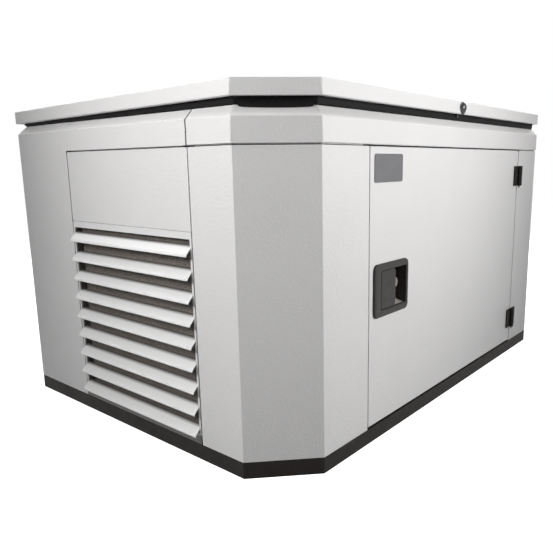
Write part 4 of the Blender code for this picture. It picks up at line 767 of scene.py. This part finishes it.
def make_paddle_face(material):
    """Face of the paddle, as tall as the dish, with two large corners at the finger end."""
    low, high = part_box("latch_paddle")
    centre = ((low.x + high.x) / 2, (low.z + high.z) / 2)
    half = ((high.x - low.x) / 2, DISH_HALF_HEIGHT - PADDLE_GAP)
    front = low.y - PADDLE_FACE
    rings = []
    for shrink, y in PADDLE_EDGE:
        size = (half[0] - shrink, half[1] - shrink)
        rings.append(rounded(centre, size, [radius - shrink / 2 for radius in PADDLE_CORNERS], front + y))
    piece("latch_paddle_face", skin(bmesh.new(), rings), material, "latch_paddle")


def make_lock_cover(material):
    """Teardrop cap of the lid's lock, domed and drawn out to a point below."""
    low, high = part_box("lid_lock")
    x, z = (low.x + high.x) / 2, high.z - (high.x - low.x) / 2
    rings = []
    for size, back in LOCK_DOME:
        ring = []
        for step in range(LOCK_STEPS):
            angle = 2 * math.pi * step / LOCK_STEPS
            point = max(-math.sin(angle), 0.0) ** LOCK_SHARPNESS
            across = math.cos(angle) * (1 - LOCK_TAPER * point)
            up = math.sin(angle) * (1 + LOCK_POINT * point)
            ring.append((x + across * size, low.y + back, z + up * size))
        rings.append(ring)
    piece("lid_lock_cover", skin(bmesh.new(), rings), material, "lid_lock")


def turned_ring(x, z, profile):
    """A hollow ring about an axis that runs along Y through x and z. profile is (radius, y)."""
    rings = []
    for step in range(RING_STEPS):
        angle = 2 * math.pi * step / RING_STEPS
        across, up = math.cos(angle), math.sin(angle)
        rings.append([(x + radius * across, y, z + radius * up) for radius, y in profile])
    return skin(bmesh.new(), rings, closed=True)


def make_key_collar(material):
    """Collar round the key barrel, which turns with it."""
    low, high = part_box("key_barrel")
    x, z = (low.x + high.x) / 2, low.z + KEY_RADIUS
    ring = turned_ring(x, z, [(radius, low.y + back) for radius, back in KEY_COLLAR])
    piece("key_collar", ring, material, "key_barrel")


def louvre_frame(source, face, back, low, high):
    """Frame round the blades, a ring of four strips that is as deep as the panel."""
    outer = [(low.y, low.z), (high.y, low.z), (high.y, high.z), (low.y, high.z)]
    window_low = BLADE_FIRST + BLADE_LIP
    window_high = high.z - LOUVRE_TOP_STRIP
    left, right = low.y + LOUVRE_STRIP, high.y - LOUVRE_STRIP
    inner = [(left, window_low), (right, window_low), (right, window_high), (left, window_high)]
    edges = ((face, outer), (back, outer), (back, inner), (face, inner))
    skin(source, [[(x, y, z) for y, z in edge] for x, edge in edges], closed=True)


def make_louvres(material):
    """Both end panels' louvres: a frame with hemmed blades whose roots curl up behind the face."""
    for name in ("left_louvre_panel", "right_louvre_panel"):
        low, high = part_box(name)
        side = -1 if low.x < 0 else 1
        face = (low.x if side < 0 else high.x) - side * BLADE_RUN
        back = high.x if side < 0 else low.x
        source = bmesh.new()
        louvre_frame(source, face, back, low, high)
        for index in range(BLADE_COUNT):
            foot = BLADE_FIRST + index * BLADE_PITCH
            section = [(face + side * out, foot + up) for out, up in BLADE_SECTION]
            ends = [low.y + LOUVRE_STRIP / 2, high.y - LOUVRE_STRIP / 2]
            skin(source, [[(x, y, z) for x, z in section] for y in ends])
        panel = piece(name + "_blades", source, material, "root", bends=0.0003)
        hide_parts(name)


def make_screws(name, spots, axis, material):
    """Pan-head screws with a drive recess, all in one piece."""
    source = bmesh.new()
    for spot in spots:
        stack(source, spot, axis, SCREW_HEAD, steps=16)
    piece(name, source, material, "root")


def make_battery_details(finishes):
    """Vent caps, terminal clamps and the hold-down bar with its hooks."""
    low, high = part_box("battery")
    top = high.z - BATTERY_POST
    middle = (low.x + high.x) / 2
    caps = bmesh.new()
    for side in (-1, 1):
        x = middle + side * CAP_SPREAD
        near = (x - CAP_HALF, high.y - CAP_FAR, top - CAP_SINK)
        block(caps, near, (x + CAP_HALF, high.y - CAP_NEAR, top + CAP_HEIGHT))
    piece("battery_vent_caps", caps, finishes["black_plastic"], "root", bends=0.0015)
    for name, x, slot in (
        ("battery_clamp_left", low.x + POST_SETBACK, "red_plastic"),
        ("battery_clamp_right", high.x - POST_SETBACK, "black_plastic"),
    ):
        clamp = bmesh.new()
        y = low.y + POST_SETBACK
        stack(clamp, (x, y, top), (0, 0, 1), CLAMP_PROFILE, steps=24)
        near = (x - CLAMP_EAR_HALF, y + CLAMP_EAR_Y[0], top + CLAMP_EAR_Z[0])
        block(clamp, near, (x + CLAMP_EAR_HALF, y + CLAMP_EAR_Y[1], top + CLAMP_EAR_Z[1]))
        piece(name, clamp, finishes[slot], "root", bends=0.0010)
    bar = bmesh.new()
    y = (low.y + high.y) / 2
    near = (low.x - STRAP_OVER, y - STRAP_HALF, top + STRAP_GAP)
    block(bar, near, (high.x + STRAP_OVER, y + STRAP_HALF, top + STRAP_TOP))
    rod = [(ROD_RADIUS, 0.0), (ROD_RADIUS, top - low.z + ROD_PROUD)]
    for x in (low.x - STRAP_OVER / 2, high.x + STRAP_OVER / 2):
        stack(bar, (x, y, low.z), (0, 0, 1), rod, steps=12)
        stack(bar, (x, y, top + STRAP_TOP), (0, 0, 1), STRAP_NUT, steps=6)
    piece("battery_hold_down", bar, finishes["zinc_steel"], "root", bends=0.0005)


def make_control_details(finishes):
    """Bezels round the button, the switch and the breaker, and the panel's screws."""
    low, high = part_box("control_box")
    steel = finishes["zinc_steel"]
    for node, name in (("stop_button", "stop_button_bezel"), ("mode_switch", "mode_switch_bezel")):
        knob_low, knob_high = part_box(node)
        x, z = (knob_low.x + knob_high.x) / 2, (knob_low.z + knob_high.z) / 2
        inner = max(knob_high.x - knob_low.x, knob_high.z - knob_low.z) / 2 + KNOB_RING_GAP
        outer = inner + KNOB_RING_WIDTH
        section = (
            (inner, 0.0),
            (outer, 0.0),
            (outer, KNOB_RING_EDGE),
            (outer - KNOB_RING_CHAMFER, KNOB_RING_HEIGHT),
            (inner, KNOB_RING_HEIGHT),
        )
        ring = turned_ring(x, z, [(radius, low.y - height) for radius, height in section])
        piece(name, ring, steel, "root")
    frame_low, frame_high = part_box("breaker_toggle")
    centre = ((frame_low.x + frame_high.x) / 2, (frame_low.z + frame_high.z) / 2)
    rings = []
    for grow, height in FRAME_PROFILE:
        size = (FRAME_HALF[0] + grow, FRAME_HALF[1] + grow)
        rings.append(rounded(centre, size, (FRAME_CORNER + grow,) * 4, low.y - height))
    plastic = finishes["black_plastic"]
    piece("breaker_frame", skin(bmesh.new(), rings, closed=True), plastic, "root")
    spots = []
    for x in (low.x + SCREW_INSET, high.x - SCREW_INSET):
        for z in (low.z + SCREW_INSET, high.z - SCREW_INSET):
            spots.append((x, low.y, z))
    make_screws("control_box_screws", spots, (0, -1, 0), steel)


def make_inlet_nut(material):
    """Hex nut and thread on the fuel inlet where it leaves the rear panel."""
    low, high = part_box("fuel_regulator")
    x, z = (low.x + high.x) / 2, (low.z + high.z) / 2
    _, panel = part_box("rear_panel")
    start = panel.y + INLET_GAP
    turns = int((high.y - start - THREAD_END) / THREAD_PITCH)
    thread = [(THREAD_ROOT, THREAD_FOOT)]
    for turn in range(turns):
        place = THREAD_START + turn * THREAD_PITCH
        thread += [(THREAD_CREST, place + THREAD_RISE), (THREAD_ROOT, place + THREAD_FALL)]
    source = bmesh.new()
    for profile, steps in ((INLET_WASHER, 32), (INLET_HEXAGON, 6), (thread, 32)):
        stack(source, (x, start, z), (0, 1, 0), profile, steps=steps)
    piece("fuel_inlet_nut", source, material, "root")


def make_inlet_screens(material):
    """A pleated filter mat right behind each end's louvres."""
    for side, name in (("left", "left_louvre_panel"), ("right", "right_louvre_panel")):
        low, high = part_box(name)
        inward = 1 if side == "left" else -1
        near = (high.x if side == "left" else low.x) + inward * MAT_GAP
        first, last = low.y + MAT_EDGE, high.y - MAT_EDGE
        count = 2 * int((high.y - low.y - 2 * MAT_EDGE) / MAT_PLEAT)
        rows = []
        for index in range(count + 1):
            y = first + (last - first) * (index / count)
            x = near + inward * MAT_PLEAT_DEPTH * (index % 2)
            rows.append((x, y))
        rows += [(x + inward * MAT_THICKNESS, y) for x, y in reversed(rows)]
        rings = [[(x, y, z) for x, y in rows] for z in (BLADE_FIRST, high.z - MAT_EDGE)]
        piece(side + "_inlet_screen", skin(bmesh.new(), rings), material, "root")


def make_seam_backs(material):
    """A strip behind each of the rear panel's two open seams, so that they show no daylight."""
    low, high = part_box("rear_panel")
    inside = high.y - SHEET
    for name, seam in (("left_seam_back", low.x), ("right_seam_back", high.x)):
        near = (seam - SEAM_BACK_HALF, inside - SEAM_BACK_THICKNESS, low.z + SEAM_BACK_GAP)
        far = (seam + SEAM_BACK_HALF, inside - WELD_GAP, high.z - SHOULDER_HEIGHT - SEAM_BACK_GAP)
        piece(name, block(bmesh.new(), near, far), material, "root", bends=0.0003)


# ---------------------------------------------------------------- studio


def make_camera():
    """Camera at the photograph's viewing angle."""
    camera = bpy.data.cameras.new("camera")
    camera.lens = CAMERA_LENS
    camera.sensor_width = CAMERA_SENSOR
    camera.shift_x, camera.shift_y = CAMERA_SHIFT
    camera.clip_start = 0.01
    place = bpy.data.objects.new("camera", camera)
    place.location = CAMERA_PLACE
    place.rotation_euler = [math.radians(angle) for angle in CAMERA_ANGLES]
    bpy.context.scene.collection.objects.link(place)
    bpy.context.scene.camera = place


def make_soft_boxes():
    """Square soft boxes that the camera doesn't see."""
    for name, place, aim, size, watts in SOFT_BOXES:
        lamp = bpy.data.lights.new(name, "AREA")
        lamp.shape = "SQUARE"
        lamp.size = size
        lamp.energy = watts
        box = bpy.data.objects.new(name, lamp)
        box.location = place
        box.rotation_euler = (Vector(aim) - Vector(place)).to_track_quat("-Z", "Y").to_euler()
        box.visible_camera = False
        bpy.context.scene.collection.objects.link(box)


def shows_backdrop(tree):
    """1 for rays that see the backdrop itself: from the camera, in a reflection or through glass."""
    path = tree.nodes.new("ShaderNodeLightPath")
    either = tree.nodes.new("ShaderNodeMath")
    either.operation = "MAXIMUM"
    any_of = tree.nodes.new("ShaderNodeMath")
    any_of.operation = "MAXIMUM"
    tree.links.new(path.outputs["Is Camera Ray"], either.inputs[0])
    tree.links.new(path.outputs["Is Glossy Ray"], either.inputs[1])
    tree.links.new(either.outputs[0], any_of.inputs[0])
    tree.links.new(path.outputs["Is Transmission Ray"], any_of.inputs[1])
    return any_of.outputs[0]


def make_world():
    """Even fill light on the object and a white backdrop for the eye."""
    world = bpy.data.worlds.new("studio")
    bpy.context.scene.world = world
    world.use_nodes = True
    tree = world.node_tree
    fill = tree.nodes["Background"]
    fill.inputs["Color"].default_value = (*WHITE, 1)
    fill.inputs["Strength"].default_value = FILL
    seen = tree.nodes.new("ShaderNodeBackground")
    seen.inputs["Color"].default_value = (*WHITE, 1)
    seen.inputs["Strength"].default_value = 1.0
    mix = tree.nodes.new("ShaderNodeMixShader")
    tree.links.new(shows_backdrop(tree), mix.inputs["Fac"])
    tree.links.new(fill.outputs[0], mix.inputs[1])
    tree.links.new(seen.outputs[0], mix.inputs[2])
    tree.links.new(mix.outputs[0], tree.nodes["World Output"].inputs["Surface"])


def make_floor():
    """White floor that keeps the object's shadow and sends little light back up."""
    side = FLOOR_SIDE / 2
    mesh = bpy.data.meshes.new("floor")
    corners = [(-side, -side, 0), (side, -side, 0), (side, side, 0), (-side, side, 0)]
    mesh.from_pydata(corners, [], [(0, 1, 2, 3)])
    floor = bpy.data.objects.new("floor", mesh)
    bpy.context.scene.collection.objects.link(floor)
    material, shader = principled("white_floor", WHITE, 0.9, Specular_IOR_Level=0.0)
    tree = material.node_tree
    shade = tree.nodes.new("ShaderNodeMapRange")
    shade.inputs["To Min"].default_value = FLOOR_BOUNCE
    shade.inputs["To Max"].default_value = FLOOR_SEEN
    tree.links.new(shows_backdrop(tree), shade.inputs["Value"])
    tree.links.new(shade.outputs["Result"], shader.inputs["Base Color"])
    glow = tree.nodes.new("ShaderNodeEmission")
    glow.inputs["Color"].default_value = (*WHITE, 1)
    strength = tree.nodes.new("ShaderNodeMath")
    strength.operation = "MULTIPLY"
    strength.inputs[1].default_value = FLOOR_GLOW
    both = tree.nodes.new("ShaderNodeAddShader")
    tree.links.new(shows_backdrop(tree), strength.inputs[0])
    tree.links.new(strength.outputs[0], glow.inputs["Strength"])
    tree.links.new(shader.outputs[0], both.inputs[0])
    tree.links.new(glow.outputs[0], both.inputs[1])
    tree.links.new(both.outputs[0], tree.nodes["Material Output"].inputs["Surface"])
    mesh.materials.append(material)


# ---------------------------------------------------------------- assembly


BEND = {
    "cream_paint": 0.0018,
    "black_frame": 0.0008,
    "black_plastic": 0.0015,
    "charcoal_plastic": 0.0012,
    "zinc_steel": 0.0008,
    "cast_alloy": 0.0015,
    "box_grey": 0.0015,
    "acoustic_foam": 0.0030,
    "rubber": 0.0010,
    "plate_grey": 0.0003,
    "red_plastic": 0.0010,
    "lacquered_steel": 0.0010,
}
OWN_BEND = {"left_louvre_panel": 0.0006, "right_louvre_panel": 0.0006}


def main():
    """Paints the CAD nodes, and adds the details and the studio."""
    finishes = make_finishes()
    for name, slot in SLOT_OF.items():
        paint(name, finishes[slot])
        round_edges(name, OWN_BEND.get(name, BEND[slot]))
    hood_coat = powder_coat("hood_powder_coat", CREAM, CREAM_ROUGHNESS, PEEL)
    hood_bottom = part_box("front_hood")[0].z + HOOD_LIP
    # Painted shade on the hood's lip below its bottom edge, which darkens the seam under the hood
    shade_beyond(hood_coat, "Z", hood_bottom - SEAM_SHADE_START, hood_bottom - SEAM_SHADE_END, SEAM_SHADE)
    for name in ("front_hood", "left_hood_band", "right_hood_band"):
        paint(name, hood_coat)
    # The louvres get a lighter copy of the cream as painted light
    louvre_coat = powder_coat("louvre_powder_coat", LIT_CREAM, CREAM_ROUGHNESS, PEEL / 2)
    # Painted shade on the louvres' blade roots, side walls and frame, deeper than their face
    louvre_face = -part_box("left_louvre_panel")[0].x - BLADE_RUN
    shade_beyond(louvre_coat, "X", louvre_face - RECESS_SHADE_DEPTH, louvre_face + RECESS_SHADE_START, RECESS_SHADE)
    # Painted shade on the strip under the lowest blade
    shade_beyond(louvre_coat, "Z", BLADE_FIRST - SEAM_SHADE_START, BLADE_FIRST - SEAM_SHADE_END, SEAM_SHADE)
    make_louvres(louvre_coat)
    make_inlet_screens(foam("inlet_filter_mat", MAT_BROWN))
    make_lock_cover(moulded("glossy_black_plastic", GLOSSY_BLACK, 0.16, GLOSSY_GRAIN, gloss=0.6))
    make_seal(finishes["rubber"])
    # The dish is painted lighter than the charcoal, as painted light in its shade
    paint("latch_housing", moulded("lit_charcoal_plastic", LIT_CHARCOAL, 0.60, LATCH_GRAIN, gloss=0.18))
    make_bezel(finishes["charcoal_plastic"])
    # Painted highlight on the dish's sloped floor
    make_dish_floor(moulded("highlight_moulded_plastic", DISH_FLOOR_HIGHLIGHT, 0.55))
    make_paddle_face(finishes["charcoal_plastic"])
    nickel = plated("worn_nickel", NICKEL, 0.36)
    paint("key_barrel", nickel)
    make_key_collar(nickel)
    make_battery_details(finishes)
    make_control_details(finishes)
    make_inlet_nut(finishes["zinc_steel"])
    make_seam_backs(finishes["cream_paint"])
    make_camera()
    make_soft_boxes()
    make_world()
    make_floor()
    bpy.context.scene.view_settings.view_transform = "Standard"


main()
